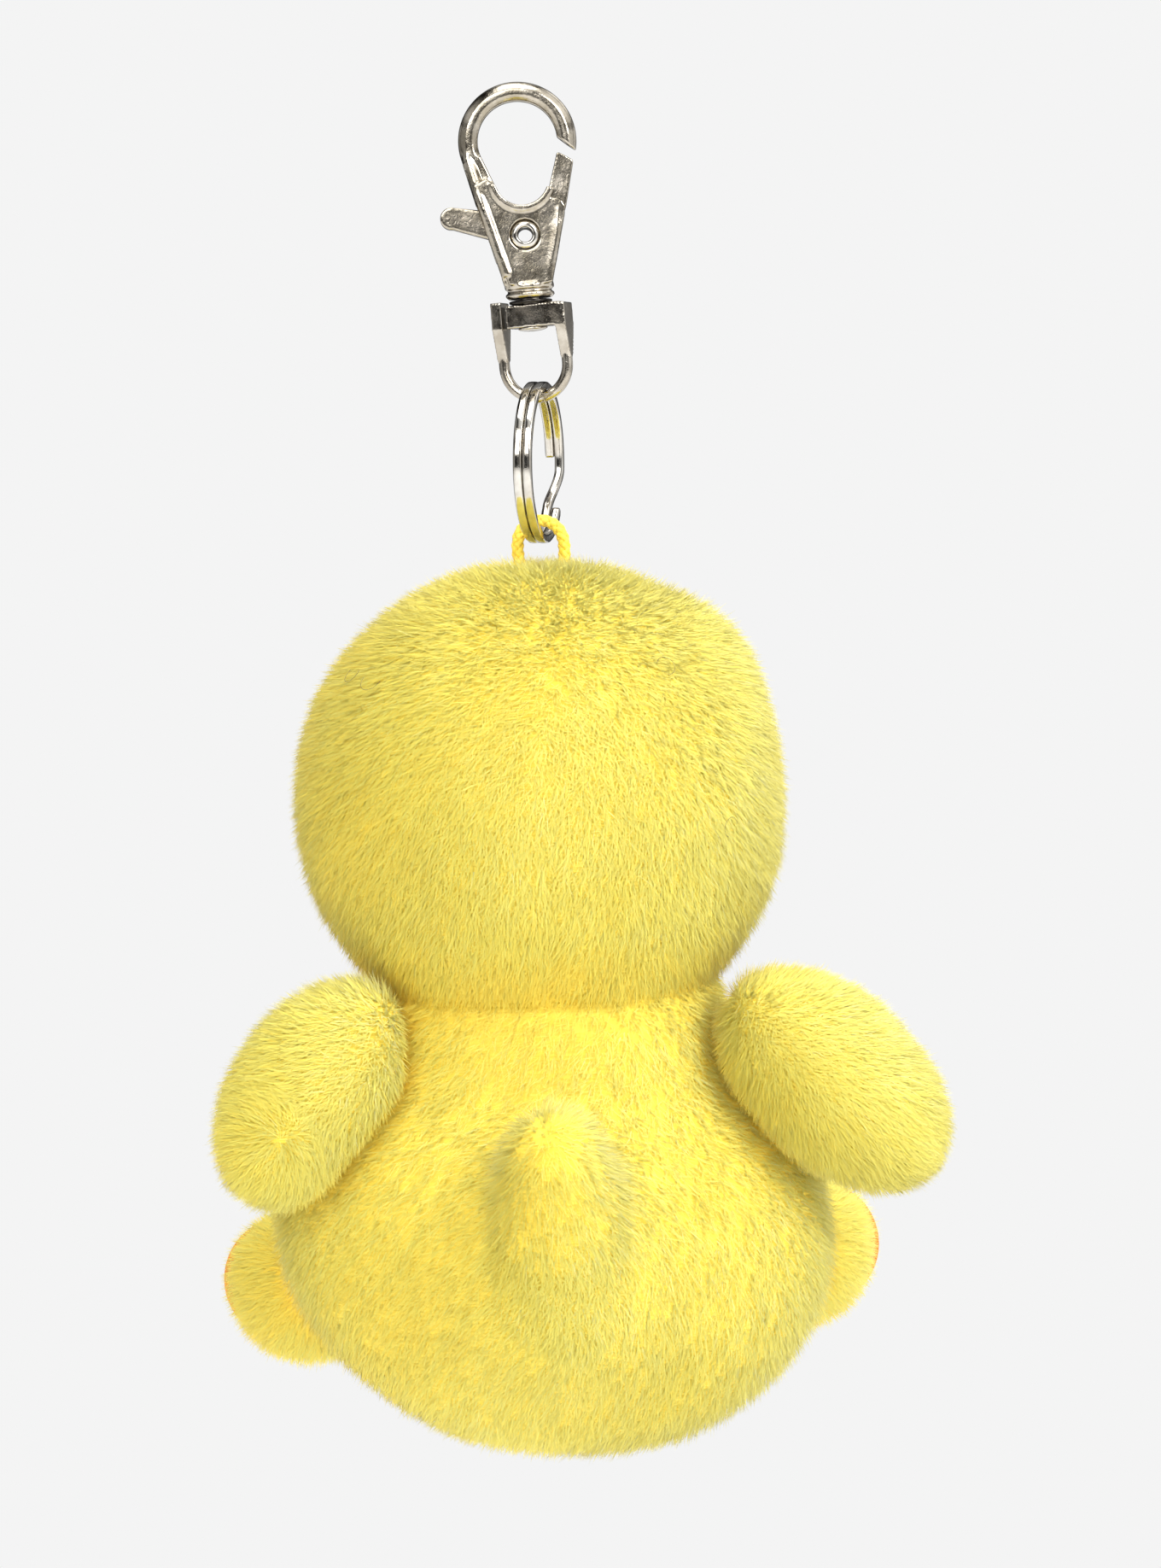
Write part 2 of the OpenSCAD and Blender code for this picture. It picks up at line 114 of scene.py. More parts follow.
def room_band(tree, source, stops):
    """Brightness along one direction, from -1 to 1, read off (place, brightness) stops."""
    spread = tree.nodes.new("ShaderNodeMapRange")
    spread.inputs["From Min"].default_value = -1.0
    ramp = tree.nodes.new("ShaderNodeValToRGB")
    while len(ramp.color_ramp.elements) < len(stops):
        ramp.color_ramp.elements.new(0.5)
    for element, (place, bright) in zip(ramp.color_ramp.elements, stops):
        element.position = (place + 1) / 2
        element.color = (bright, bright, bright, 1)
    tree.links.new(source, spread.inputs["Value"])
    tree.links.new(spread.outputs[0], ramp.inputs[0])
    return ramp.outputs[0]


def multiplied(tree, a, b):
    """Two brightnesses as one."""
    node = tree.nodes.new("ShaderNodeMath")
    node.operation = "MULTIPLY"
    tree.links.new(a, node.inputs[0])
    tree.links.new(b, node.inputs[1])
    return node.outputs[0]


def build_room(tree):
    """Room light is the product of three bands, up, sideways and front to back. Polished metal
    mirrors the same room with its brightness raised to a power, for contrast, and dark behind,
    because the rims of a round bar mirror what lies behind it."""
    tree.nodes.clear()
    way = tree.nodes.new("ShaderNodeSeparateXYZ")
    tree.links.new(tree.nodes.new("ShaderNodeTexCoord").outputs["Generated"], way.inputs[0])
    up = room_band(tree, way.outputs["Z"],
                   [(-1, 0.62), (-0.55, 0.7), (-0.42, 0.3), (-0.2, 0.62), (0.22, 0.75), (0.34, 0.2),
                    (0.5, 1.0), (1, 1.0)])
    side = room_band(tree, way.outputs["X"],
                     [(-1, 1.0), (-0.45, 1.0), (-0.3, 0.32), (-0.12, 0.7), (0.3, 0.6), (0.42, 0.1),
                      (0.62, 0.14), (0.75, 0.6), (1, 0.7)])
    front = room_band(tree, way.outputs["Y"],
                      [(-1, 1.0), (-0.5, 1.0), (-0.2, 0.45), (0.1, 0.85), (0.6, 0.9), (1, 0.55)])
    light = multiplied(tree, multiplied(tree, up, side), front)
    lit = tree.nodes.new("ShaderNodeBackground")
    lit.inputs["Strength"].default_value = ROOM_POWER
    tree.links.new(light, lit.inputs["Color"])
    mirrored = tree.nodes.new("ShaderNodeMath")
    mirrored.operation = "POWER"
    mirrored.inputs[1].default_value = MIRROR_CONTRAST
    tree.links.new(light, mirrored.inputs[0])
    behind = room_band(tree, way.outputs["Y"],
                       [(-1, 0.12), (-0.72, 0.2), (-0.5, 0.9), (0.6, 1.0), (0.9, 1.0), (1, 0.85)])
    sharp = tree.nodes.new("ShaderNodeBackground")
    sharp.inputs["Strength"].default_value = ROOM_POWER * 1.3
    tree.links.new(multiplied(tree, mirrored.outputs[0], behind), sharp.inputs["Color"])
    seen = tree.nodes.new("ShaderNodeBackground")
    seen.inputs["Color"].default_value = (BACKDROP, BACKDROP, BACKDROP, 1)
    rays = tree.nodes.new("ShaderNodeLightPath")
    glossy = tree.nodes.new("ShaderNodeMixShader")
    tree.links.new(rays.outputs["Is Glossy Ray"], glossy.inputs[0])
    tree.links.new(lit.outputs[0], glossy.inputs[1])
    tree.links.new(sharp.outputs[0], glossy.inputs[2])
    mix = tree.nodes.new("ShaderNodeMixShader")
    tree.links.new(rays.outputs["Is Camera Ray"], mix.inputs[0])
    tree.links.new(glossy.outputs[0], mix.inputs[1])
    tree.links.new(seen.outputs[0], mix.inputs[2])
    tree.links.new(mix.outputs[0], tree.nodes.new("ShaderNodeOutputWorld").inputs[0])


build_room(world.node_tree)


def soft_lamp(name, place, aim, size, power):
    """A square lamp at place, in metres, turned towards aim."""
    lamp = bpy.data.lights.new(name, "AREA")
    lamp.size, lamp.energy = size, power
    holder = bpy.data.objects.new(name, lamp)
    away = np.array(place) - np.array(aim)
    holder.location = place
    holder.rotation_euler = (
        math.atan2(math.hypot(away[0], away[1]), away[2]), 0, math.atan2(away[0], -away[1]))
    scene.collection.objects.link(holder)


middle = tuple(float(c) for c in (cad_box[0] + cad_box[1]) / 2)
soft_lamp("key", (-0.55, 0.75, 0.45), middle, 0.5, 7.0)
soft_lamp("front", (0.35, 1.0, 0.5), middle, 0.8, 8.0)
soft_lamp("top", (0.05, 0.1, 0.8), middle, 0.6, 3.9)
print("room and lamps are up")

# %% [markdown]
# The floor lies well below the hanging chick, so it shows only from above.

# %% Lay the floor
FLOOR_Z, FLOOR_R = -0.3, 1.75
turn = np.linspace(0, 2 * math.pi, 97)[:-1]
floor_mesh = bpy.data.meshes.new("floor")
floor_mesh.from_pydata(
    [(FLOOR_R * math.cos(a), FLOOR_R * math.sin(a), FLOOR_Z) for a in turn], [], [range(len(turn))])
floor = bpy.data.objects.new("floor", floor_mesh)
scene.collection.objects.link(floor)
pale = bpy.data.materials.new("pale_floor")
pale.use_nodes = True
pale.node_tree.nodes["Principled BSDF"].inputs["Base Color"].default_value = (0.86, 0.86, 0.86, 1)
pale.node_tree.nodes["Principled BSDF"].inputs["Roughness"].default_value = 0.9
floor_mesh.materials.append(pale)
print("floor lies at", FLOOR_Z, "m")

# %% [markdown]
# ## Tools of the trade
#
# Every new piece is a surface worked out as whole arrays: points on a grid, in millimetres, and
# the faces that join them. These few helpers close a grid into a globe or a tube and hand the
# arrays to Blender.

# %% Hand arrays over as a piece
def put_piece(name, points, faces, materials, body, stands_for=(), paint=None, normals=None):
    """A piece from points in millimetres and an array of faces with equal numbers of sides."""
    mesh = bpy.data.meshes.new(name)
    faces = np.asarray(faces, dtype=np.int32)
    mesh.vertices.add(len(points))
    mesh.vertices.foreach_set("co", (np.asarray(points, dtype=np.float32) * MM).ravel())
    mesh.loops.add(faces.size)
    mesh.loops.foreach_set("vertex_index", faces.ravel())
    mesh.polygons.add(len(faces))
    mesh.polygons.foreach_set("loop_start", np.arange(0, faces.size, faces.shape[1], dtype=np.int32))
    mesh.polygons.foreach_set("use_smooth", np.ones(len(faces), dtype=bool))
    for material in materials:
        mesh.materials.append(material)
    if paint is not None:
        mesh.polygons.foreach_set("material_index", np.asarray(paint, dtype=np.int32))
    mesh.update(calc_edges=True)
    if normals is not None:
        mesh.normals_split_custom_set_from_vertices(np.asarray(normals, dtype=np.float32))
    piece = bpy.data.objects.new(name, mesh)
    scene.collection.objects.link(piece)
    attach(piece, body)
    if stands_for:
        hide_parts(*stands_for)
    return piece


def globe_faces(rows, cols):
    """Triangles over a globe: point 0 is one pole, then rows rings of cols points, then the other pole."""
    ring = 1 + np.arange(rows * cols).reshape(rows, cols)
    ahead = np.roll(ring, -1, axis=1)
    a, b, c, d = ring[:-1].ravel(), ahead[:-1].ravel(), ahead[1:].ravel(), ring[1:].ravel()
    first = np.stack([np.zeros(cols, int), ahead[0], ring[0]], axis=1)
    last = np.stack([np.full(cols, rows * cols + 1), ring[-1], ahead[-1]], axis=1)
    return np.concatenate([first, np.stack([a, b, c], 1), np.stack([a, c, d], 1), last])


def tube_faces(rings, sides, first=0):
    """Triangles along a tube of rings with sides points each, shut with a fan at both ends."""
    ring = first + np.arange(rings * sides).reshape(rings, sides)
    ahead = np.roll(ring, -1, axis=1)
    a, b, c, d = ring[:-1].ravel(), ahead[:-1].ravel(), ahead[1:].ravel(), ring[1:].ravel()
    start = np.stack([np.full(sides - 2, ring[0, 0]), ring[0, 2:], ring[0, 1:-1]], axis=1)
    end = np.stack([np.full(sides - 2, ring[-1, 0]), ring[-1, 1:-1], ring[-1, 2:]], axis=1)
    return np.concatenate([np.stack([a, b, c], 1), np.stack([a, c, d], 1), start, end])


def unit(v):
    """Vectors of length 1 along v."""
    return v / np.maximum(np.linalg.norm(v, axis=-1, keepdims=True), 1e-12)


def smooth_route(route, steps):
    """Points along a smooth curve through a route: between two points it is a cubic whose slope at
    each is half the way from the point before to the point after."""
    route = np.asarray(route, dtype=float)
    padded = np.concatenate([[2 * route[0] - route[1]], route, [2 * route[-1] - route[-2]]])
    t = np.linspace(0, len(route) - 1, steps)
    i = np.minimum(t.astype(int), len(route) - 2)
    f = (t - i)[:, None]
    p0, p1, p2, p3 = padded[i], padded[i + 1], padded[i + 2], padded[i + 3]
    return 0.5 * (2 * p1 + (p2 - p0) * f + (2 * p0 - 5 * p1 + 4 * p2 - p3) * f**2
                  + (3 * p1 - p0 - 3 * p2 + p3) * f**3)


def frames_along(line, side):
    """Heading, sideways and upward unit vectors at each point of a line, sideways kept near side."""
    heading = unit(np.gradient(line, axis=0))
    upward = unit(np.cross(heading, side))
    return heading, np.cross(upward, heading), upward


def round_tube(line, side, radius, sides):
    """Points of a round tube along a line, a ring of them at each of the line's points."""
    heading, sideways, upward = frames_along(line, side)
    q = np.linspace(0, 2 * math.pi, sides + 1)[:-1]
    ring = line[:, None] + radius * (np.cos(q)[:, None] * sideways[:, None]
                                     + np.sin(q)[:, None] * upward[:, None])
    return ring.reshape(-1, 3)


# %% [markdown]
# ## Nickel plate
#
# The clasp is cast zinc under a thin coat of nickel, a warm grey metal. What makes it look real is
# what happened to it: the flat faces kept the fine grain of the mould, the edges were tumbled
# bright, and here and there the plating is stained. Grain, stain and polish are the same on every
# part, so they are one node group, placed in each material with its own sizes.

# %% Build the plating group
def plating_group():
    """Wear of plated metal: a colour factor, a roughness and a height, from the place on the part."""
    group = bpy.data.node_groups.new("plating", "ShaderNodeTree")
    for name, kind in (("Grain size", "NodeSocketFloat"), ("Grain", "NodeSocketFloat"),
                       ("Satin", "NodeSocketFloat"), ("Polish", "NodeSocketFloat")):
        group.interface.new_socket(name, in_out="INPUT", socket_type=kind)
    for name, kind in (("Stain", "NodeSocketFloat"), ("Roughness", "NodeSocketFloat"),
                       ("Height", "NodeSocketFloat")):
        group.interface.new_socket(name, in_out="OUTPUT", socket_type=kind)
    put, join = group.nodes.new, group.links.new
    given, gives = put("NodeGroupInput"), put("NodeGroupOutput")
    where = put("ShaderNodeTexCoord").outputs["Object"]

    def cloud(size, detail, rough=0.6):
        noise = put("ShaderNodeTexNoise")
        noise.inputs["Scale"].default_value = size
        noise.inputs["Detail"].default_value = detail
        noise.inputs["Roughness"].default_value = rough
        join(where, noise.inputs["Vector"])
        return noise

    def between(value, low, high, out_low, out_high):
        span = put("ShaderNodeMapRange")
        for key, number in (("From Min", low), ("From Max", high), ("To Min", out_low),
                            ("To Max", out_high)):
            span.inputs[key].default_value = number
        join(value, span.inputs["Value"])
        return span.outputs[0]

    def maths(kind, a, b):
        node = put("ShaderNodeMath")
        node.operation = kind
        for socket, value in zip(node.inputs, (a, b)):
            if isinstance(value, (int, float)):
                socket.default_value = value
            else:
                join(value, socket)
        return node.outputs[0]

    join(between(cloud(420, 3).outputs[0], 0.38, 0.66, 0.0, 1.0), gives.inputs["Stain"])
    grain = cloud(1, 2)
    join(given.outputs["Grain size"], grain.inputs["Scale"])
    pits = between(cloud(5200, 1).outputs[0], 0.5, 0.72, 0.0, 1.0)
    height = maths("ADD", grain.outputs[0], maths("MULTIPLY", pits, -0.4))
    grained = maths("MULTIPLY", height, given.outputs["Grain"])
    swell = maths("MULTIPLY", cloud(330, 1).outputs[0], 7.0)
    join(maths("ADD", grained, swell), gives.inputs["Height"])
    smear = between(cloud(900, 4).outputs[0], 0.35, 0.7, 0.0, 1.0)
    edge = between(put("ShaderNodeNewGeometry").outputs["Pointiness"], 0.5, 0.56, 0.0, 1.0)
    satin = maths("ADD", given.outputs["Satin"], maths("MULTIPLY", smear, 0.1))
    kept = maths("SUBTRACT", 1.0, maths("MULTIPLY", edge, given.outputs["Polish"]))
    join(maths("MULTIPLY", satin, kept), gives.inputs["Roughness"])
    return group


PLATING = plating_group()


def metal(name, bright, stained, satin, grain, grain_size=2600.0, polish=0.6):
    """A plated metal: colour from stained to bright, roughness satin, grain as a bump."""
    made = bpy.data.materials.new(name)
    made.use_nodes = True
    tree = made.node_tree
    shader = tree.nodes["Principled BSDF"]
    shader.inputs["Metallic"].default_value = 1.0
    wear = tree.nodes.new("ShaderNodeGroup")
    wear.node_tree = PLATING
    for key, value in (("Grain size", grain_size), ("Grain", grain), ("Satin", satin),
                       ("Polish", polish)):
        wear.inputs[key].default_value = value
    tint = tree.nodes.new("ShaderNodeMix")
    tint.data_type = "RGBA"
    tint.inputs[6].default_value = (*stained, 1)
    tint.inputs[7].default_value = (*bright, 1)
    bump = tree.nodes.new("ShaderNodeBump")
    bump.inputs["Strength"].default_value = 0.5
    bump.inputs["Distance"].default_value = 0.03 * MM
    for source, target in ((wear.outputs["Stain"], tint.inputs[0]),
                           (tint.outputs[2], shader.inputs["Base Color"]),
                           (wear.outputs["Roughness"], shader.inputs["Roughness"]),
                           (wear.outputs["Height"], bump.inputs["Height"]),
                           (bump.outputs[0], shader.inputs["Normal"])):
        tree.links.new(source, target)
    return made


cast_nickel = metal("cast_nickel", (0.54, 0.49, 0.41), (0.34, 0.30, 0.23), 0.15, 1.0)
strip_nickel = metal("strip_nickel", (0.54, 0.50, 0.43), (0.36, 0.32, 0.26), 0.13, 0.7)
bright_nickel = metal("bright_nickel", (0.62, 0.60, 0.55), (0.48, 0.44, 0.38), 0.07, 0.2)
black_steel = metal("black_steel", (0.05, 0.045, 0.04), (0.03, 0.027, 0.024), 0.4, 1.0)
print("metals:", [m.name for m in (cast_nickel, strip_nickel, bright_nickel, black_steel)])

# %% [markdown]
# ## Cast and pressed parts
#
# The hook, its lever and the swivel loop already have their exact shape in the frame, with sharp
# corners. Real castings have none, and a sharp corner reflects nothing. So each is copied, closed
# into one skin on a fine lattice of cells, and relaxed, which rounds every corner by a tenth or two
# of a millimetre and leaves the flat faces flat. The hook also gets the raised beads that run
# down both edges of its hollow body: round bars added before the skin is closed. The clasp leans a
# little, so what is drawn along its own axis is leaned with it.

# %% Round the corners of the castings
CLASP_LEAN = math.radians(4.8)
LEAN = np.array([[math.cos(CLASP_LEAN), 0, math.sin(CLASP_LEAN)], [0, 1, 0],
                 [-math.sin(CLASP_LEAN), 0, math.cos(CLASP_LEAN)]])


def cast(node, body, material, cell, relax, beads=()):
    """A copy of a node with its corners rounded, worked in millimetres on a lattice of that cell.
    Each bead is a route in the clasp's own frame and a radius."""
    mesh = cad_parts[node].data.copy()
    mesh.name = "rounded_" + node
    work = bmesh.new()
    work.from_mesh(mesh)
    bmesh.ops.remove_doubles(work, verts=work.verts, dist=0.001 * MM)
    bmesh.ops.scale(work, vec=(1 / MM,) * 3, verts=work.verts)
    for route, radius in beads:
        line = smooth_route(route, 24) @ LEAN.T
        corner = [work.verts.new(p) for p in round_tube(line, BACK, radius, 12).tolist()]
        for face in tube_faces(24, 12):
            work.faces.new([corner[i] for i in face])
    work.to_mesh(mesh)
    work.free()
    holder = bpy.data.objects.new("casting", mesh)
    scene.collection.objects.link(holder)
    lattice = holder.modifiers.new("lattice", "REMESH")
    lattice.mode, lattice.voxel_size = "VOXEL", cell
    ease = holder.modifiers.new("relax", "SMOOTH")
    ease.factor, ease.iterations = 0.5, relax
    done = holder.evaluated_get(bpy.context.evaluated_depsgraph_get()).to_mesh()
    points = np.empty(len(done.vertices) * 3, dtype=np.float32)
    done.vertices.foreach_get("co", points)
    corners = np.empty(len(done.loops), dtype=np.int32)
    done.loops.foreach_get("vertex_index", corners)
    faces = corners.reshape(-1, 4)
    bpy.data.objects.remove(holder)
    piece = put_piece("rounded_" + node, points.reshape(-1, 3), faces, [material], body,
                      [node])
    print(piece.name, len(faces), "faces")


LEFT_BEAD = [(5.0, 0.5, 0.2), (4.95, 0.85, -1.6), (4.55, 1.35, -3.6), (4.05, 1.8, -5.8),
             (3.0, 1.85, -9.8), (2.05, 1.8, -13.4)]
RIGHT_BEAD = [(-3.55, 1.8, -7.0), (-3.2, 1.88, -9.2), (-2.6, 1.88, -11.6), (-2.0, 1.8, -13.7)]
beads = [([(x, face * y, z) for x, y, z in route], radius)
         for route, radius in ((LEFT_BEAD, 0.6), (RIGHT_BEAD, 0.46)) for face in (-1, 1)]
cast("hook_body", "clasp", cast_nickel, 0.11, 9, beads)
cast("gate_lever", "gate", cast_nickel, 0.1, 7)
cast("swivel_loop", "swivel", strip_nickel, 0.1, 5)

# %% [markdown]
# ## Turned parts
#
# The rivet, the swivel post and the washer are parts of revolution. Their profiles are drawn as a
# few points, and cutting each corner off twice rounds them as rolling and peening do.

# %% Turn the rivet, the post and the washer
def eased(profile, passes=2):
    """A closed outline with its corners cut off: each side keeps its middle three fifths."""
    points = np.asarray(profile, dtype=float)
    for _ in range(passes):
        ahead = np.roll(points, -1, axis=0)
        points = np.stack([0.8 * points + 0.2 * ahead, 0.2 * points + 0.8 * ahead], 1).reshape(-1, 2)
    return points


def turned(profile, sides=72):
    """A closed profile of (radius, height) carried round the Z axis: a ring of quads."""
    angle = np.linspace(0, 2 * math.pi, sides + 1)[:-1, None]
    radius, height = profile[:, 0], profile[:, 1]
    points = np.stack([np.cos(angle) * radius, np.sin(angle) * radius,
                       np.broadcast_to(height, (sides, len(profile)))], axis=-1)
    cell = np.arange(sides * len(profile)).reshape(sides, len(profile))
    over, up = np.roll(cell, -1, axis=0), np.roll(cell, -1, axis=1)
    both = np.roll(over, -1, axis=1)
    return points.reshape(-1, 3), np.stack([cell, over, both, up], -1).reshape(-1, 4)


def node_middle(node):
    """The middle of a node's box, in millimetres."""
    low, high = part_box(node)
    return (np.array(low) + np.array(high)) / 2 / MM


RIVET = [(0.7, -2.1), (0.85, -2.3), (1.15, -2.26), (1.38, -2.05), (1.38, -1.88), (1.03, -1.85),
         (1.03, 1.85), (1.38, 1.88), (1.38, 2.05), (1.15, 2.26), (0.85, 2.3), (0.7, 2.1)]
points, faces = turned(eased(RIVET))
across = np.array([[1, 0, 0], [0, 0, -1], [0, 1, 0]])
put_piece("rolled_rivet", points @ across.T + node_middle("gate_rivet"), faces, [bright_nickel],
          "clasp", ["gate_rivet"])

POST = [(0.02, -14.17), (1.1, -14.2), (1.45, -14.5), (1.45, -14.97), (0.88, -14.97), (0.88, -18.62),
        (1.5, -18.62), (1.4, -18.82), (0.8, -18.96), (0.02, -19.0)]
points, faces = turned(eased(POST, 1), 48)
put_piece("peened_post", points @ LEAN.T, faces, [strip_nickel], "clasp", ["swivel_post"])

WASHER = [(0.93, -16.24), (2.15, -16.24), (2.15, -15.87), (0.93, -15.87)]
points, faces = turned(eased(WASHER), 48)
put_piece("black_washer", points @ LEAN.T, faces, [black_steel], "clasp",
          ["swivel_washer"])

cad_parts["gate_spring"].data.materials.clear()
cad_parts["gate_spring"].data.materials.append(bright_nickel)
print("turned: rivet, post, washer")

# %% [markdown]
# ## Split ring
#
# A split ring is one length of spring wire with a softened square section. It starts at a free
# end, goes once round, crosses over to lie beside itself and goes round again. The section is a
# squircle, whose corners sharpen with its power, carried along that path.

# %% Sweep the split ring
RING_R, WIRE = 8.05, 0.9
FROM, CROSS, CROSS_RUN, TO = (math.radians(a) for a in (217, 543, 32, 894))
HANG_TURN = math.radians(12)


def split_ring(steps=420, sides=20, power=4.5):
    """The wire's middle circles the ring while it moves from -0.48 mm to 0.48 mm along the ring's
    axis at the crossing, by the curve 3k*k - 2k*k*k. Round it go the points of a squircle."""
    along = np.linspace(FROM, TO, steps)
    k = np.clip((along - CROSS) / CROSS_RUN, 0, 1)
    shift = (WIRE / 2 + 0.03) * (2 * k * k * (3 - 2 * k) - 1)
    q = np.linspace(0, 2 * math.pi, sides + 1)[:-1]
    full = (np.abs(np.cos(q)) ** power + np.abs(np.sin(q)) ** power) ** (-1 / power)
    out, side = WIRE / 2 * full * np.cos(q), WIRE / 2 * full * np.sin(q)
    taper = np.minimum(1, 0.9 + 0.05 * np.minimum(np.arange(steps), np.arange(steps)[::-1]))[:, None]
    radius = RING_R - WIRE / 2 + out * taper
    x, y = radius * np.cos(along)[:, None], radius * np.sin(along)[:, None]
    z = shift[:, None] + side * taper
    lay = np.stack([y * 0, y, z * 0], -1)
    lay[..., 0] = x * math.sin(HANG_TURN) + z * math.cos(HANG_TURN)
    lay[..., 1] = x * math.cos(HANG_TURN) - z * math.sin(HANG_TURN)
    lay[..., 2] = y
    return lay.reshape(-1, 3), tube_faces(steps, sides)


ring_middle = node_middle("split_ring")
ring_middle[2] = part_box("split_ring")[1][2] / MM - RING_R
points, faces = split_ring()
put_piece("sprung_ring", points + ring_middle, faces, [bright_nickel], "ring",
          ["split_ring"])
print("split ring:", len(faces), "faces")

# %% [markdown]
# ## Braided cord
#
# The chick hangs on a thin round braid of yellow polyester. In a real braid half the strands wind
# left and half wind right, and each passes over two and under two, which gives the herringbone.
# The loop's route comes first, because everything else makes room for it; each strand then winds
# round that route while its distance from the middle rises and falls.

# %% Braid the cord along its route
CORD_ROUTE = [(-1.8, -52), (-1.78, -51), (-1.7, -49), (-1.4, -47), (-1, -45), (-0.6, -43.5),
              (-0.25, -42), (-0.05, -40.8), (-0.1, -39.6), (-0.4, -38.8), (-1, -38.2),
              (-1.7, -37.85), (-2.4, -37.75), (-3.15, -37.9), (-3.8, -38.3), (-4.3, -38.9),
              (-4.6, -39.7), (-4.7, -40.8), (-4.65, -42), (-4.4, -43.5), (-3.95, -45),
              (-3.5, -47), (-3.2, -49), (-3.2, -51), (-3.2, -52)]
CORD_D, STRANDS, CORD_PITCH = 1.3, 8, 3.4
route = np.array([(x, 0.0, z) for x, z in CORD_ROUTE])


def yarn_material(name, bright, deep, roughness):
    """Dyed yarn: fine ply lines and a slow change of dye between two shades, with a soft sheen."""
    made = bpy.data.materials.new(name)
    made.use_nodes = True
    tree = made.node_tree
    shader = tree.nodes["Principled BSDF"]
    where = tree.nodes.new("ShaderNodeTexCoord").outputs["Object"]
    dye = tree.nodes.new("ShaderNodeTexNoise")
    dye.inputs["Scale"].default_value = 1500.0
    dye.inputs["Detail"].default_value = 3.0
    tint = tree.nodes.new("ShaderNodeMix")
    tint.data_type = "RGBA"
    tint.inputs[6].default_value = (*deep, 1)
    tint.inputs[7].default_value = (*bright, 1)
    ply = tree.nodes.new("ShaderNodeTexNoise")
    ply.inputs["Scale"].default_value = 7000.0
    bump = tree.nodes.new("ShaderNodeBump")
    bump.inputs["Strength"].default_value = 0.6
    bump.inputs["Distance"].default_value = 0.05 * MM
    for source, target in ((where, dye.inputs["Vector"]), (where, ply.inputs["Vector"]),
                           (dye.outputs[0], tint.inputs[0]),
                           (tint.outputs[2], shader.inputs["Base Color"]),
                           (ply.outputs[0], bump.inputs["Height"]),
                           (bump.outputs[0], shader.inputs["Normal"])):
        tree.links.new(source, target)
    shader.inputs["Roughness"].default_value = roughness
    shader.inputs["Sheen Weight"].default_value = 0.2
    return made


def braid(route, steps=330, sides=6):
    """Strand s at place t along the cord stands at angle s's start, plus or minus the wind, and at
    a radius that swings by the cosine of twice its crossing angle, over then under the others."""
    line = smooth_route(route, steps)
    heading, sideways, upward = frames_along(line, BACK)
    run = np.concatenate([[0], np.cumsum(np.linalg.norm(np.diff(line, axis=0), axis=1))])
    q = np.linspace(0, 2 * math.pi, sides + 1)[:-1]
    all_points, all_faces = [], []
    for s in range(STRANDS):
        wind = 1 if s % 2 else -1
        angle = wind * run / CORD_PITCH * 2 * math.pi + (s // 2) * 4 * math.pi / STRANDS
        swing = 0.06 * np.cos(STRANDS / 4 * run / CORD_PITCH * 4 * math.pi + math.pi * (s % 2))
        out = np.cos(angle)[:, None] * sideways + np.sin(angle)[:, None] * upward
        middle = line + out * (CORD_D * 0.33 + swing)[:, None]
        along = unit(np.gradient(middle, axis=0))
        flat = unit(np.cross(along, out))
        ring = (middle[:, None] + 0.16 * np.cos(q)[:, None] * out[:, None]
                + 0.3 * np.sin(q)[:, None] * flat[:, None])
        all_faces.append(tube_faces(steps, sides, s * steps * sides))
        all_points.append(ring.reshape(-1, 3))
    all_points.append(round_tube(line, BACK, 0.36, sides))
    all_faces.append(tube_faces(steps, sides, STRANDS * steps * sides))
    return np.concatenate(all_points), np.concatenate(all_faces), float(run[-1])


cord_yarn = yarn_material("cord_yarn", (0.95, 0.74, 0.09), (0.80, 0.52, 0.03), 0.55)
points, faces, cord_length = braid(route)
cord = put_piece("braided_cord", points, faces, [cord_yarn], "chick", ["cord_loop"])
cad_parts["cord_knot"].data.materials.clear()
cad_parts["cord_knot"].data.materials.append(cord_yarn)
head_low, head_high = (np.array(c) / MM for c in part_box("head_cover"))
print("cord:", round(cord_length, 1), "mm long,", len(faces), "faces")

# %% [markdown]
# ## The chick's shape
#
# A stuffed toy is a few closed forms of cloth, swelled by their filling and pressed against each
# other where they are sewn. Each form is described by a field: a number for every place that is
# below zero inside and above zero outside. Fields mix well. The smaller of two is their union,
# the larger of one and the turned-round other is a form with a hollow pressed into it, and adding
# a small bump to a field dents it, as a stitch does.

# %% Fields for stuffed forms
def ball_field(p, middle, r):
    """Distance from the middle, less the radius."""
    return np.linalg.norm(p - middle, axis=-1) - r


def egg_field(p, middle, axis, half_l, r):
    """About the distance outside an egg of revolution: with k the place scaled to a unit ball and
    g its slope's length, it is k*(k - 1)/g."""
    off = p - middle
    along = off @ axis
    across = np.sqrt(np.maximum((off**2).sum(-1) - along**2, 0))
    k = np.sqrt((along / half_l) ** 2 + (across / r) ** 2) + 1e-9
    return k * (k - 1) / np.sqrt((along / half_l**2) ** 2 + (across / r**2) ** 2 + 1e-12)


def cone_field(p, low, low_r, high, high_r):
    """Distance outside a round cone: the nearest ball on its axis lies back from the place's foot
    by the cone's slant."""
    length = np.linalg.norm(high - low)
    axis = (high - low) / length
    off = p - low
    along = off @ axis
    across = np.sqrt(np.maximum((off**2).sum(-1) - along**2, 0))
    slant = (low_r - high_r) / length
    t = np.clip(along - across * slant / math.sqrt(1 - slant**2), 0, length)
    return np.sqrt((along - t) ** 2 + across**2) - (low_r + (high_r - low_r) * t / length)


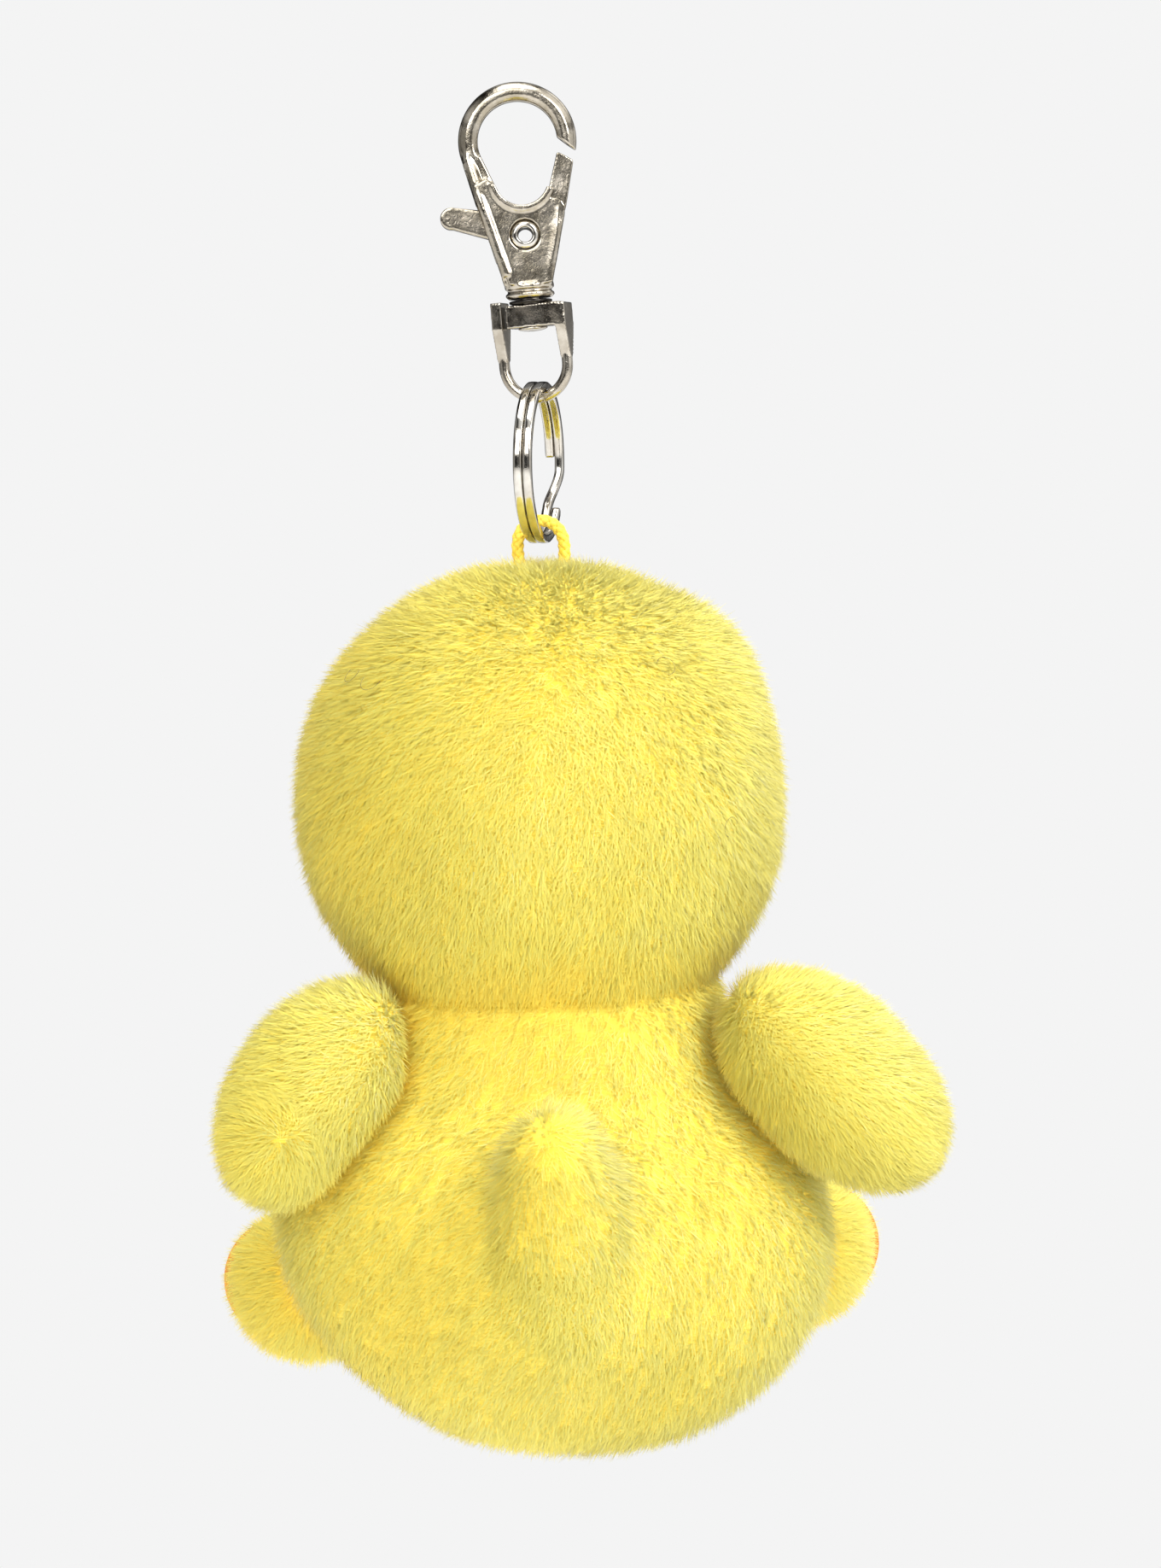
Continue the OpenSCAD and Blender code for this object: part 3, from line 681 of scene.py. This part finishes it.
def union(a, b, soft):
    """The smaller of two fields, with the corner between them filled over the distance soft."""
    h = np.clip(0.5 + 0.5 * (b - a) / soft, 0, 1)
    return b + (a - b) * h - soft * h * (1 - h)


def pressed(a, b, soft):
    """Field a where b is outside, with b's form pressed into it and the rim rounded over soft."""
    return -union(-a, b, soft)


def lumps(p, size, shift):
    """Soft unevenness from -1 to 1: three sines in crossed directions, with that wavelength."""
    q = p * (2 * math.pi / size)
    return (np.sin(q @ np.array([0.9, 0.3, 0.4]) + shift)
            + np.sin(q @ np.array([-0.3, 0.8, 0.6]) + 2.1 * shift)
            + np.sin(q @ np.array([0.4, -0.5, 0.9]) + 3.7 * shift)) / 3


def dent(p, middle, depth, width):
    """A round dent of that depth, fading as a bell curve of that width."""
    return depth * np.exp(-((p - middle) ** 2).sum(-1) / (2 * width**2))


# %% [markdown]
# The values are the ones that the frame was built with: a ball for the head, a wide egg on its
# side with round shoulders for the body, eggs for wings and feet, a round cone for the tail. The
# head's come straight from its box. The cloth's backing lies a little inside, and the pile stands
# on it out to the true size.

# %% Place the forms
PILE = 1.5
HEAD = (head_low + head_high) / 2
HEAD_R = (head_high[0] - head_low[0]) / 2
BODY, BODY_LONG, BODY_R = np.array([-3.7, 0, -107.9]), 28.5, 23.2
BODY_AXIS = np.array([math.cos(math.radians(10.3)), 0, math.sin(math.radians(10.3))])
SHOULDER, SHOULDER_R = np.array([-2.9, 0, -92.0]), 19.8
TAIL, TAIL_R = np.array([-4.3, 17, -112.0]), 10.5
TAIL_TIP, TAIL_TIP_R = np.array([-3.9, 28, -100.0]), 5.8
WINGS = {1: (np.array([19.5, 12.3, -94.4]), -34.7, 13.1),
         -1: (np.array([-31.0, 11, -92.9]), 47.3, 14.0)}
WING_R, WING_LIFT = 9.0, math.radians(30)
FOOT_LONG, FOOT_R, FOOT_SPLAY = 11.5, 8.5, math.radians(20)
BEAK, BEAK_LONG, BEAK_R, BEAK_DROOP = np.array([-2.3, -23.5, -69.8]), 6.5, 3.9, math.radians(12)
CORD_IN = np.array([-2.5, 0, HEAD[2] + HEAD_R])
WHORL = np.array([24.4, 19.4, -99.8])
WING_PIVOT = {1: np.array([12.0, 12.3, -86]), -1: np.array([-22.0, 11, -84.5])}
FEET = {1: np.array([21.1, -15.0, -114.5]), -1: np.array([-27.8, -15.0, -110.9])}


def wing_egg(p, side):
    """Side 1 is the wing at +X and side -1 the one at -X, which is held out further."""
    middle, lean, half_l = WINGS[side]
    axis = np.array([math.sin(math.radians(lean)), 0, math.cos(math.radians(lean))])
    return egg_field(p, middle, axis, half_l, WING_R)


def foot_axis(side):
    return np.array([side * math.sin(FOOT_SPLAY), -math.cos(FOOT_SPLAY), 0])


def foot_egg(p, side):
    """A foot points forward and out."""
    return egg_field(p, FEET[side], foot_axis(side), FOOT_LONG, FOOT_R)


def head_form(p):
    """The head: a ball with a nape, a puff at the top, a dent for the cord and a faint back seam."""
    seam = np.exp(-((p[..., 0] - HEAD[0] + 1.5) / 0.8) ** 2) * np.clip(p[..., 1] / 8, 0, 1)
    ball = union(ball_field(p, HEAD - [0.05, 0, 0], HEAD_R + 0.5),
                 ball_field(p, HEAD + [-0.3, 4.5, -9.5], 17.5), 4.0)
    return (ball + dent(p, CORD_IN, 1.0, 2.0) + 0.15 * seam
            - dent(p, HEAD + np.array([-17.8, -2, 17.2]), 1.7, 5.0) + 0.25 * lumps(p, 17, 0.4))


def hard_body(p):
    """The outside of the body as the wings and feet are cut to it: egg and shoulders, unblended."""
    return np.minimum(egg_field(p, BODY, BODY_AXIS, BODY_LONG, BODY_R),
                      ball_field(p, SHOULDER, SHOULDER_R))


def hard_stop(p):
    """How far a place is from the body and the head."""
    return np.minimum(hard_body(p), ball_field(p, HEAD, HEAD_R))


def lifted(p, side):
    """Where a place on a wing comes to when the wing is lifted."""
    turn = side * WING_LIFT
    off = p - WING_PIVOT[side]
    x = off[..., 0] * math.cos(turn) - off[..., 2] * math.sin(turn)
    z = off[..., 0] * math.sin(turn) + off[..., 2] * math.cos(turn)
    return WING_PIVOT[side] + np.stack([x, off[..., 1], z], axis=-1)


def head_skin(p):
    """The head's backing, under the pile."""
    return head_form(p) + PILE


def body_form(p):
    """The body: an egg with round shoulders, and two swellings that fill its corners, one along
    the tail, so that the tail grows out of the back with no edge, and one under the head."""
    trunk = union(egg_field(p, BODY, BODY_AXIS, BODY_LONG, BODY_R),
                  ball_field(p, SHOULDER, SHOULDER_R), 3.0)
    neck = ball_field(p, HEAD, HEAD_R - 1.2) + np.maximum(p[..., 2] + 80.5, 0)
    tail = cone_field(p, TAIL, TAIL_R - 0.7, TAIL_TIP, TAIL_TIP_R - 1.0)
    return union(union(trunk, tail, 9.0), neck, 4.5)


def body_skin(p):
    """The body's backing, with the head pressed into it."""
    seam = np.exp(-((p[..., 0] - BODY[0] + 1.0) / 0.8) ** 2) * np.clip(p[..., 1] / 8, 0, 1)
    return pressed(body_form(p) + 0.25 * lumps(p, 19, 1.3) + 0.12 * seam + PILE,
                   ball_field(p, HEAD, HEAD_R - PILE - 1), 0.5)


def tail_form(p):
    """The tail, a stuffed cone that grows out of the body."""
    return cone_field(p, TAIL, TAIL_R, TAIL_TIP, TAIL_TIP_R) + 0.25 * lumps(p, 13, 2.2)


def tail_skin(p):
    return tail_form(p) + PILE


def wing_skin(p, side):
    """A wing's backing, cut flat where it lies against the body at rest and when it is lifted."""
    stitch = dent(p, WHORL, 1.8, 1.2) if side > 0 else 0
    stop = np.minimum(hard_stop(p), hard_stop(lifted(p, side)))
    free = wing_egg(p, side) + stitch + 0.2 * lumps(p, 11, side + 2.0) + PILE
    return pressed(free, stop - 0.25, 0.6)


def wing_skins(p):
    """How far a place is from the nearer wing's backing."""
    return np.minimum(wing_skin(p, 1), wing_skin(p, -1))


def foot_skin(p, side):
    """A foot's backing."""
    return foot_egg(p, side) + 0.15 * lumps(p, 10, side + 4.0) + PILE


def foot_skins(p):
    return np.minimum(foot_skin(p, 1), foot_skin(p, -1))


def beak_form(p):
    """The beak, a small blunt egg that points a little down."""
    axis = np.array([0, -math.cos(BEAK_DROOP), -math.sin(BEAK_DROOP)])
    return egg_field(p, BEAK, axis, BEAK_LONG, BEAK_R)


# %% [markdown]
# All these forms can be seen whole from a point inside them, so each is a globe: from that point
# we look out every way, and halve the distance again and again until the field is zero.

# %% Turn a field into a skin
def reach(form, inside, ways, far=45.0):
    """How far from the inside point, along each way, the form's surface lies."""
    near, off = np.zeros(len(ways)), np.full(len(ways), far)
    for _ in range(20):
        middle = (near + off) / 2
        within = form(inside + ways * middle[:, None]) < 0
        near, off = np.where(within, middle, near), np.where(within, off, middle)
    return (near + off) / 2


def slope(form, p, step=0.05):
    """The outward unit vector: how the field changes along X, Y and Z over a small step."""
    ways = np.eye(3) * step
    return unit(np.stack([form(p + way) - form(p - way) for way in ways], axis=-1))


def skin(form, inside, rows, cols):
    """A globe of rows and columns round the inside point, out to the form."""
    lat = np.linspace(0, math.pi, rows + 2)[1:-1, None]
    lon = np.linspace(0, 2 * math.pi, cols + 1)[None, :-1]
    ways = np.stack([np.sin(lat) * np.cos(lon), np.sin(lat) * np.sin(lon),
                     np.cos(lat) + 0 * lon], axis=-1).reshape(-1, 3)
    ways = np.concatenate([[UP], ways, [-UP]])
    points = inside + ways * reach(form, inside, ways)[:, None]
    faces = globe_faces(rows, cols)
    return points, faces[:, ::-1]


# %% [markdown]
# ## Cloth and pile
#
# The backing is a knitted cloth, seen only between the fibres and in the creases, where light has
# passed through so much yellow that it turns orange. It is a deep yellow with knit rows, and a faint
# painted glow, an emission, stands in for that light.

# %% Mix the backing cloth
def backing_cloth(name, bright, deep, rows, glow):
    """Knit backing: dye from deep to bright by a soft noise, rows of stitches as a bump, and a painted
    glow, an emission that stands in for the light that comes through the cloth."""
    made = bpy.data.materials.new(name)
    made.use_nodes = True
    tree = made.node_tree
    shader = tree.nodes["Principled BSDF"]
    where = tree.nodes.new("ShaderNodeTexCoord").outputs["Object"]
    dye = tree.nodes.new("ShaderNodeTexNoise")
    dye.inputs["Scale"].default_value = 260.0
    dye.inputs["Detail"].default_value = 4.0
    tint = tree.nodes.new("ShaderNodeMix")
    tint.data_type = "RGBA"
    tint.inputs[6].default_value = (*deep, 1)
    tint.inputs[7].default_value = (*bright, 1)
    knit = tree.nodes.new("ShaderNodeTexWave")
    knit.bands_direction = "Z"
    knit.inputs["Scale"].default_value = rows
    knit.inputs["Distortion"].default_value = 3.0
    bump = tree.nodes.new("ShaderNodeBump")
    bump.inputs["Strength"].default_value = 0.4
    bump.inputs["Distance"].default_value = 0.2 * MM
    for source, target in ((where, dye.inputs["Vector"]), (where, knit.inputs["Vector"]),
                           (dye.outputs[0], tint.inputs[0]),
                           (tint.outputs[2], shader.inputs["Base Color"]),
                           (knit.outputs[1], bump.inputs["Height"]),
                           (bump.outputs[0], shader.inputs["Normal"])):
        tree.links.new(source, target)
    shader.inputs["Roughness"].default_value = 0.9
    # painted glow: emission in the deep colour, with no lamp behind it
    shader.inputs["Emission Color"].default_value = (*deep, 1)
    shader.inputs["Emission Strength"].default_value = glow
    return made


yellow_backing = backing_cloth("yellow_backing", (0.96, 0.76, 0.11), (0.90, 0.64, 0.06), 700.0, 0.1)
orange_felt = backing_cloth("orange_felt", (0.86, 0.27, 0.03), (0.66, 0.15, 0.01), 900.0, 0.0)
print("cloths:", yellow_backing.name, orange_felt.name)


# %% Sew the skins
def stuffed(name, form, inside, body, nodes, material, rows=72):
    """A closed, padded skin for a form."""
    points, faces = skin(form, np.array(inside, dtype=float), rows, 2 * rows)
    piece = put_piece(name, points, faces, [material], body, nodes)
    print(name, len(faces), "faces")


def foot_heart(side):
    """A point inside a foot, near its sole."""
    return FEET[side] + np.array([side * 1.6, -4.0, 0])


SIDES = (("left", 1, (22.5, 14.5, -95.5)), ("right", -1, (-31.6, 11.5, -93.6)))
TAIL_HEART = TAIL + 0.45 * (TAIL_TIP - TAIL)
stuffed("head_skin", head_skin, HEAD, "chick", ["head_cover"], yellow_backing)
stuffed("body_skin", body_skin, BODY, "chick", ["body_cover"], yellow_backing)
stuffed("tail_skin", tail_skin, TAIL_HEART, "chick", ["tail_cover"], yellow_backing, 48)
stuffed("beak_skin", beak_form, BEAK, "chick", ["beak_cover"], orange_felt, 48)
for label, side, heart in SIDES:
    stuffed(f"wing_{label}_skin", lambda p, s=side: wing_skin(p, s), heart, f"wing_{label}",
            [f"wing_{label}_cover"], yellow_backing, 48)
    stuffed(f"foot_{label}_skin", lambda p, s=side: foot_skin(p, s), foot_heart(side), "chick",
            [f"foot_{label}_cover"], yellow_backing, 48)

# %% [markdown]
# ## Fibres
#
# Long pile is what makes plush. A fibre is a slender three-sided spike with its foot in the
# backing: four small triangles, so several hundred thousand of them are still light to draw. They
# lean with the nap, the way the cloth was brushed, and gather a little into locks. Two things make
# them look soft. Each is shaded as if it lay on the form itself, so the light rolls over the whole
# toy and not over each spike, and each takes one of a few close shades of yellow. Which shade is
# partly chance and partly painted light: paler on the top and the -X side, where the lamps fall,
# and deeper in the creases as painted shade. The deepest shades get a painted glow, an emission that
# stands in for light which has gone through many fibres and comes out orange.

# %% Dye the fibres
def fibre_shade(name, colour, sheen, glow):
    """One shade of fibre: a matt colour with the pale sheen of polyester along its edge, and a little
    painted glow, an emission with no lamp that stands in for the light the pile passes from fibre to
    fibre, most of all deep in a crease."""
    made = bpy.data.materials.new(name)
    made.use_nodes = True
    shader = made.node_tree.nodes["Principled BSDF"]
    shader.inputs["Base Color"].default_value = (*colour, 1)
    shader.inputs["Roughness"].default_value = 0.62
    shader.inputs["Specular IOR Level"].default_value = 0.35
    shader.inputs["Sheen Weight"].default_value = sheen
    shader.inputs["Sheen Roughness"].default_value = 0.45
    shader.inputs["Sheen Tint"].default_value = (1.0, 0.95, 0.66, 1)
    # painted glow: an emission that stands in for light scattered through the pile
    shader.inputs["Emission Color"].default_value = (1.0, 0.62, 0.07, 1)
    shader.inputs["Emission Strength"].default_value = glow
    return made


# The shades are partly chance and partly painted light: amber and deep are painted shade for the creases
# and carry the painted glow, light and pale are painted light for the top and the -X side.
YELLOWS = [fibre_shade(*shade) for shade in (
    ("pile_amber", (0.99, 0.62, 0.05), 0.0, 0.40),
    ("pile_deep", (0.97, 0.74, 0.09), 0.08, 0.09),
    ("pile_yellow", (0.97, 0.82, 0.13), 0.16, 0.0),
    ("pile_light", (0.97, 0.87, 0.19), 0.24, 0.0),
    ("pile_pale", (0.97, 0.91, 0.34), 0.34, 0.0))]
print("shades of pile:", [m.name for m in YELLOWS])


# %% Plant a piece of pile
SPIKE = np.array([[1, 0, 3], [2, 1, 3], [0, 2, 3], [0, 1, 2]])
planted = 0


def roots(form, inside, count, dice):
    """Places spread evenly over a form's backing: random ways out of the inside point, kept with a
    chance that grows with the area each stands for, distance squared over the surface's slant."""
    ways = unit(dice.normal(size=(count, 3)))
    far = reach(form, inside, ways)
    points = inside + ways * far[:, None]
    normal = slope(form, points)
    area = far**2 / np.maximum((ways * normal).sum(-1), 0.15)
    kept = dice.random(count) < area / np.quantile(area, 0.98)
    return points[kept], normal[kept]


def pile(name, body, form, inside, count, nap, seed, keep, tone, room, length=2.1, lean=50.0):
    """Fibres on a skin. The nap is laid along the surface; a fibre stands between the surface's
    normal and the nap by its lean, plus the pull of its lock and a little chance. It is no taller
    than the room there is beside the next form."""
    global planted
    dice = np.random.default_rng(seed)
    foot, normal = roots(form, np.array(inside, dtype=float), count, dice)
    alive = keep(foot + normal * PILE)
    foot, normal = foot[alive], normal[alive]
    lay = nap(foot, normal)
    lay = unit(lay - (lay * normal).sum(-1, keepdims=True) * normal)
    side = np.cross(normal, lay)
    lock = np.stack([lumps(foot, 2.6, seed + k) + lumps(foot, 6.5, seed + 5 * k) for k in (1, 2, 3)], -1)
    bend = math.radians(lean) + 0.05 * lock[:, 0] + 0.2 * dice.normal(size=len(foot))
    swing = 0.14 * lock[:, 1] + 0.4 * dice.normal(size=len(foot))
    along = lay * np.cos(swing)[:, None] + side * np.sin(swing)[:, None]
    way = unit(normal * np.cos(bend)[:, None] + along * np.sin(bend)[:, None])
    tall = length * (1 + 0.03 * lock[:, 2] + 0.1 * dice.normal(size=len(foot)))
    tall *= np.clip((room(foot) - 0.1) / (tall * np.cos(bend)), 0.25, 1)
    across = unit(np.cross(way, normal + 0.01))
    up = np.cross(across, way)
    thick = 0.05 * (1 + 0.25 * dice.random(len(foot)))[:, None]
    spin = dice.random(len(foot)) * 2 * math.pi
    corners = [foot + thick * (np.cos(spin + a)[:, None] * across + np.sin(spin + a)[:, None] * up)
               for a in (0.0, 2.1, 4.2)]
    points = np.stack(corners + [foot + way * tall[:, None]], axis=1).reshape(-1, 3)
    faces = (SPIKE + 4 * np.arange(len(foot))[:, None, None]).reshape(-1, 3)
    # the shade index takes the tone's painted light and crease shade, plus chance and the locks
    shade = tone(foot, normal) + 0.42 * dice.normal(size=len(foot)) + 0.12 * lock[:, 0]
    shade = np.clip(np.rint(shade), 0, len(YELLOWS) - 1).astype(int)
    facing = unit(normal + 0.09 * dice.normal(size=normal.shape) + 0.1 * way)
    put_piece(name, points, faces, YELLOWS, body, paint=np.repeat(shade, 4),
              normals=np.repeat(facing, 4, axis=0))
    planted += len(foot)
    print(name, len(foot), "fibres")


# %% [markdown]
# The covers are cut in panels and sewn, and the pile of each panel runs its own way, so each
# panel's pile is a piece. The nap runs down and outward. Where forms press on each other there is
# no room for pile, and towards those creases the colour deepens as painted shade. The pile is also
# painted paler on the top and the -X side, where the lamps fall.

# %% Lay the nap and the tone, with painted light and shade
def nap_of(turn, back=0.0):
    """Downwards, turned towards +X by that many degrees, and towards the back by that share."""
    down = np.array([math.sin(math.radians(turn)), 0, -math.cos(math.radians(turn))])

    def nap(p, normal):
        swirl = 0.35 * lumps(p, 34, turn / 9)[:, None]
        return down + swirl * np.array([1.0, 0.4, 0.2]) + back * np.array([0, 1.0, 0])
    return nap


def crease(p, form, width=2.3):
    """1 where a place touches another form, falling to 0 at that width from it: the mask of the
    painted crease shade.
    """
    return np.clip(1 - form(p) / width, 0, 1) ** 1.3


def clear(p):
    """More room than any fibre needs."""
    return np.full(len(p), 9.0)


def tone_with_painted_light_and_shade(base, *forms):
    """Shade of pile: the base, painted paler upward and at the -X side, where the lamps fall, and
    deeper in the crease beside each form by that form's depth, as painted shade."""
    def tone(p, normal):
        # painted light: the side facing -X and the top face the lamps, so they are made paler
        bright = base + 0.3 * lumps(p, 23, 0.8) - 0.5 * normal[:, 0] + 0.15 * normal[:, 2]
        # painted shade: each crease deepens the colour by its form's depth
        return bright - sum(depth * crease(p, form) for form, depth in forms)
    return tone


# %% Pile on the head and the body
def quarter(east, back, seam_x):
    """True in one quarter of a form, split at the back seam and at the sides."""
    return lambda p: ((p[:, 0] > seam_x) == east) & ((p[:, 1] > 0) == back)


def face_parts(p):
    """True where the eyes and the beak leave room for pile."""
    eyes = [ball_field(p, node_middle(f"eye_{label}") * [1, 0, 1] + [0, -21.0, 0], 2.6) > 0
            for label in ("left", "right")]
    return eyes[0] & eyes[1] & (beak_form(p) > 0.2)


QUARTERS = (("back_left", True, True, 16), ("back_right", False, True, 8),
            ("front_left", True, False, 14), ("front_right", False, False, 10))
# The depth given with each form is how deep its crease is painted in shade.
for k, (label, east, back, turn) in enumerate(QUARTERS):
    part = quarter(east, back, HEAD[0] - 1.5)
    pile(f"head_pile_{label}", "chick", head_skin, HEAD, 150000, nap_of(turn, 0.1), 11 + k,
         lambda p, part=part: part(p) & (body_form(p) > -0.4) & face_parts(p),
         tone_with_painted_light_and_shade(2.3, (body_form, 0.6), (wing_skins, 2.0)), wing_skins)
for k, (label, east, back, turn) in enumerate(QUARTERS):
    part = quarter(east, back, BODY[0] - 1.0)
    pile(f"body_pile_{label}", "chick", body_skin, BODY, 190000, nap_of(turn + 6), 31 + k,
         lambda p, part=part: (part(p) & (head_form(p) > -0.3) & (tail_form(p) > -0.4)
                               & (foot_skins(p) > -0.8)),
         tone_with_painted_light_and_shade(2.3, (head_form, 0.7), (wing_skins, 2.6), (foot_skins, 1.4)), wing_skins)

# %% [markdown]
# On the feet the nap runs towards the toes, so that the pile laps over the edge of the sole.

# %% Pile on the tail, wings and feet
SOLE_FROM_END = 2.2
pile("tail_pile", "chick", tail_skin, TAIL_HEART, 34000, nap_of(-20), 51,
     lambda p: body_form(p) > -0.5, tone_with_painted_light_and_shade(2.6), clear, lean=36)
for label, side, heart in SIDES:
    def whorled(p, normal):
        """Outward and down, and away from the stitch at the wing's tip."""
        away = p - WHORL
        pull = 2.5 * np.exp(-(away**2).sum(-1, keepdims=True) / 30) * (side > 0)
        return np.array([side * 0.8, 0, -0.6]) + pull * unit(away)

    pile(f"wing_{label}_pile", f"wing_{label}", lambda p, s=side: wing_skin(p, s), heart, 62000,
         whorled, 60 + side, lambda p: hard_body(p) > 0.0, tone_with_painted_light_and_shade(2.6, (hard_body, 2.4)), hard_stop)
    pile(f"foot_{label}_pile", "chick", lambda p, s=side: foot_skin(p, s), foot_heart(side), 40000,
         lambda p, normal, s=side: foot_axis(s) + [0, 0, -0.5], 70 + side,
         lambda p, s=side: ((hard_body(p) > -0.3)
                            & ((p - FEET[s]) @ foot_axis(s) < FOOT_LONG - SOLE_FROM_END)),
         tone_with_painted_light_and_shade(2.0, (hard_body, 1.4)), clear)
print(planted, "fibres in all")

# %% [markdown]
# ## Eyes, soles and what is inside
#
# The face is plain: two black safety eyes, turned domes with a shank, and a small felt beak. The
# feet have felt soles with a rolled edge. The fillings, the pellet bag and the eyes' snap washers
# are hidden, but each has its own stuff too.

# %% Make the plain materials
def plain(name, colour, roughness, grain_size, grain, coat=0.0):
    """One colour with a fine bump of that grain size."""
    made = bpy.data.materials.new(name)
    made.use_nodes = True
    tree = made.node_tree
    shader = tree.nodes["Principled BSDF"]
    shader.inputs["Base Color"].default_value = (*colour, 1)
    shader.inputs["Roughness"].default_value = roughness
    shader.inputs["Coat Weight"].default_value = coat
    shader.inputs["Coat Roughness"].default_value = 0.03
    cloud = tree.nodes.new("ShaderNodeTexNoise")
    cloud.inputs["Scale"].default_value = grain_size
    bump = tree.nodes.new("ShaderNodeBump")
    bump.inputs["Strength"].default_value = grain
    bump.inputs["Distance"].default_value = 0.1 * MM
    tree.links.new(tree.nodes.new("ShaderNodeTexCoord").outputs["Object"], cloud.inputs["Vector"])
    tree.links.new(cloud.outputs[0], bump.inputs["Height"])
    tree.links.new(bump.outputs[0], shader.inputs["Normal"])
    return made


eye_black = plain("eye_black", (0.006, 0.006, 0.007), 0.12, 400.0, 0.05, 0.6)
stuffing = plain("stuffing", (0.88, 0.88, 0.86), 0.9, 900.0, 0.8)
pouch_cloth = plain("pouch_cloth", (0.78, 0.72, 0.60), 0.8, 2500.0, 0.9)
washer_plastic = plain("washer_plastic", (0.82, 0.82, 0.79), 0.45, 1500.0, 0.1)
for node, material in [(n, stuffing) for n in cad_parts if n.endswith("_filling")] + [
        ("pellet_pouch", pouch_cloth), ("eye_washers", washer_plastic)]:
    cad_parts[node].data.materials.clear()
    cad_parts[node].data.materials.append(material)
print("inside:", [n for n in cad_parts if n.endswith("_filling")])


# %% Turn the eyes and cut the soles
def aimed(points, way, at):
    """Points with their Z axis turned to lie along way, then moved to at."""
    way = np.asarray(way, dtype=float)
    side = unit(np.cross(UP, way))
    return points @ np.stack([side, np.cross(way, side), way]) + at


EYE_TURN, EYE_RISE, EYE_R = math.radians(27), math.radians(6), 2.3
DOME_SEAT = math.sqrt(HEAD_R**2 - EYE_R**2)
for label, side in (("left", 1), ("right", -1)):
    way = (side * math.sin(EYE_TURN) * math.cos(EYE_RISE), -math.cos(EYE_TURN) * math.cos(EYE_RISE),
           math.sin(EYE_RISE))
    dome = [(EYE_R * math.cos(a), DOME_SEAT + 0.05 + EYE_R * math.sin(a))
            for a in np.linspace(math.asin((HEAD_R - DOME_SEAT) / EYE_R), 1.565, 14)]
    profile = [(0.01, 16.5), (1.05, 16.5), (1.05, HEAD_R + 0.02), (dome[0][0], HEAD_R + 0.04)] + dome
    points, faces = turned(np.array(profile), 48)
    put_piece(f"glass_eye_{label}", aimed(points, way, HEAD), faces[:, ::-1], [eye_black], "chick",
              [f"eye_{label}"])


def sole_points():
    """Both soles: the felt lies between the foot's egg grown by 0.1 mm and grown by 0.9 mm."""
    level = np.linspace(0, 1, 12)
    outer_l, outer_r, inner_l, inner_r = FOOT_LONG + 0.9, FOOT_R + 0.9, FOOT_LONG + 0.1, FOOT_R + 0.1
    edge = FOOT_LONG - SOLE_FROM_END
    outer = [(outer_r * math.sqrt(max(1 - (h / outer_l) ** 2, 0)) + 0.01, h)
             for h in outer_l - (outer_l - edge) * level**2]
    inner = [(inner_r * math.sqrt(max(1 - (h / inner_l) ** 2, 0)) + 0.01, h)
             for h in inner_l - (inner_l - edge) * level[::-1] ** 2]
    points, faces = turned(eased(outer + inner, 1), 48)
    both = [aimed(points, foot_axis(side), FEET[side]) for side in (1, -1)]
    return np.concatenate(both), np.concatenate([faces, faces + len(points)])


points, faces = sole_points()
put_piece("felt_soles", points, faces, [orange_felt], "chick", ["foot_soles"])
print("eyes and soles:", len(faces), "sole faces")

# %% [markdown]
# A new plush toy sheds: a few loose dark hairs cling to the back of its head. Each is a thin tube
# along a curled line that hugs the pile.

# %% Lay the loose hairs
hair_brown = plain("hair_brown", (0.16, 0.10, 0.04), 0.5, 3000.0, 0.1)
dice = np.random.default_rng(7)
hair_points, hair_faces, count = [], [], 0
for spot in ((16.0, 10.5, 12.0), (14.0, 14.0, 11.0), (-11.0, 17.0, 13.0), (-17.0, 15.0, -3.0)):
    away = unit(np.array(spot))
    side = unit(np.cross(away, UP))
    turn = dice.random() * 6.28 + np.linspace(0, 2.6 + 2 * dice.random(), 18)
    curl = np.cumsum(np.stack([np.cos(turn), np.sin(turn)], 1), axis=0) * 0.24
    line = away + (curl[:, :1] * side + curl[:, 1:] * np.cross(side, away)) / HEAD_R
    line = HEAD + unit(line) * (HEAD_R + 0.75 + 0.25 * np.sin(np.linspace(0, 3, 18)))[:, None]
    hair_points.append(round_tube(line, away, 0.022, 4))
    hair_faces.append(tube_faces(18, 4, count))
    count += len(hair_points[-1])
put_piece("loose_hairs", np.concatenate(hair_points), np.concatenate(hair_faces),
          [hair_brown], "chick")
print("loose hairs:", len(hair_points))
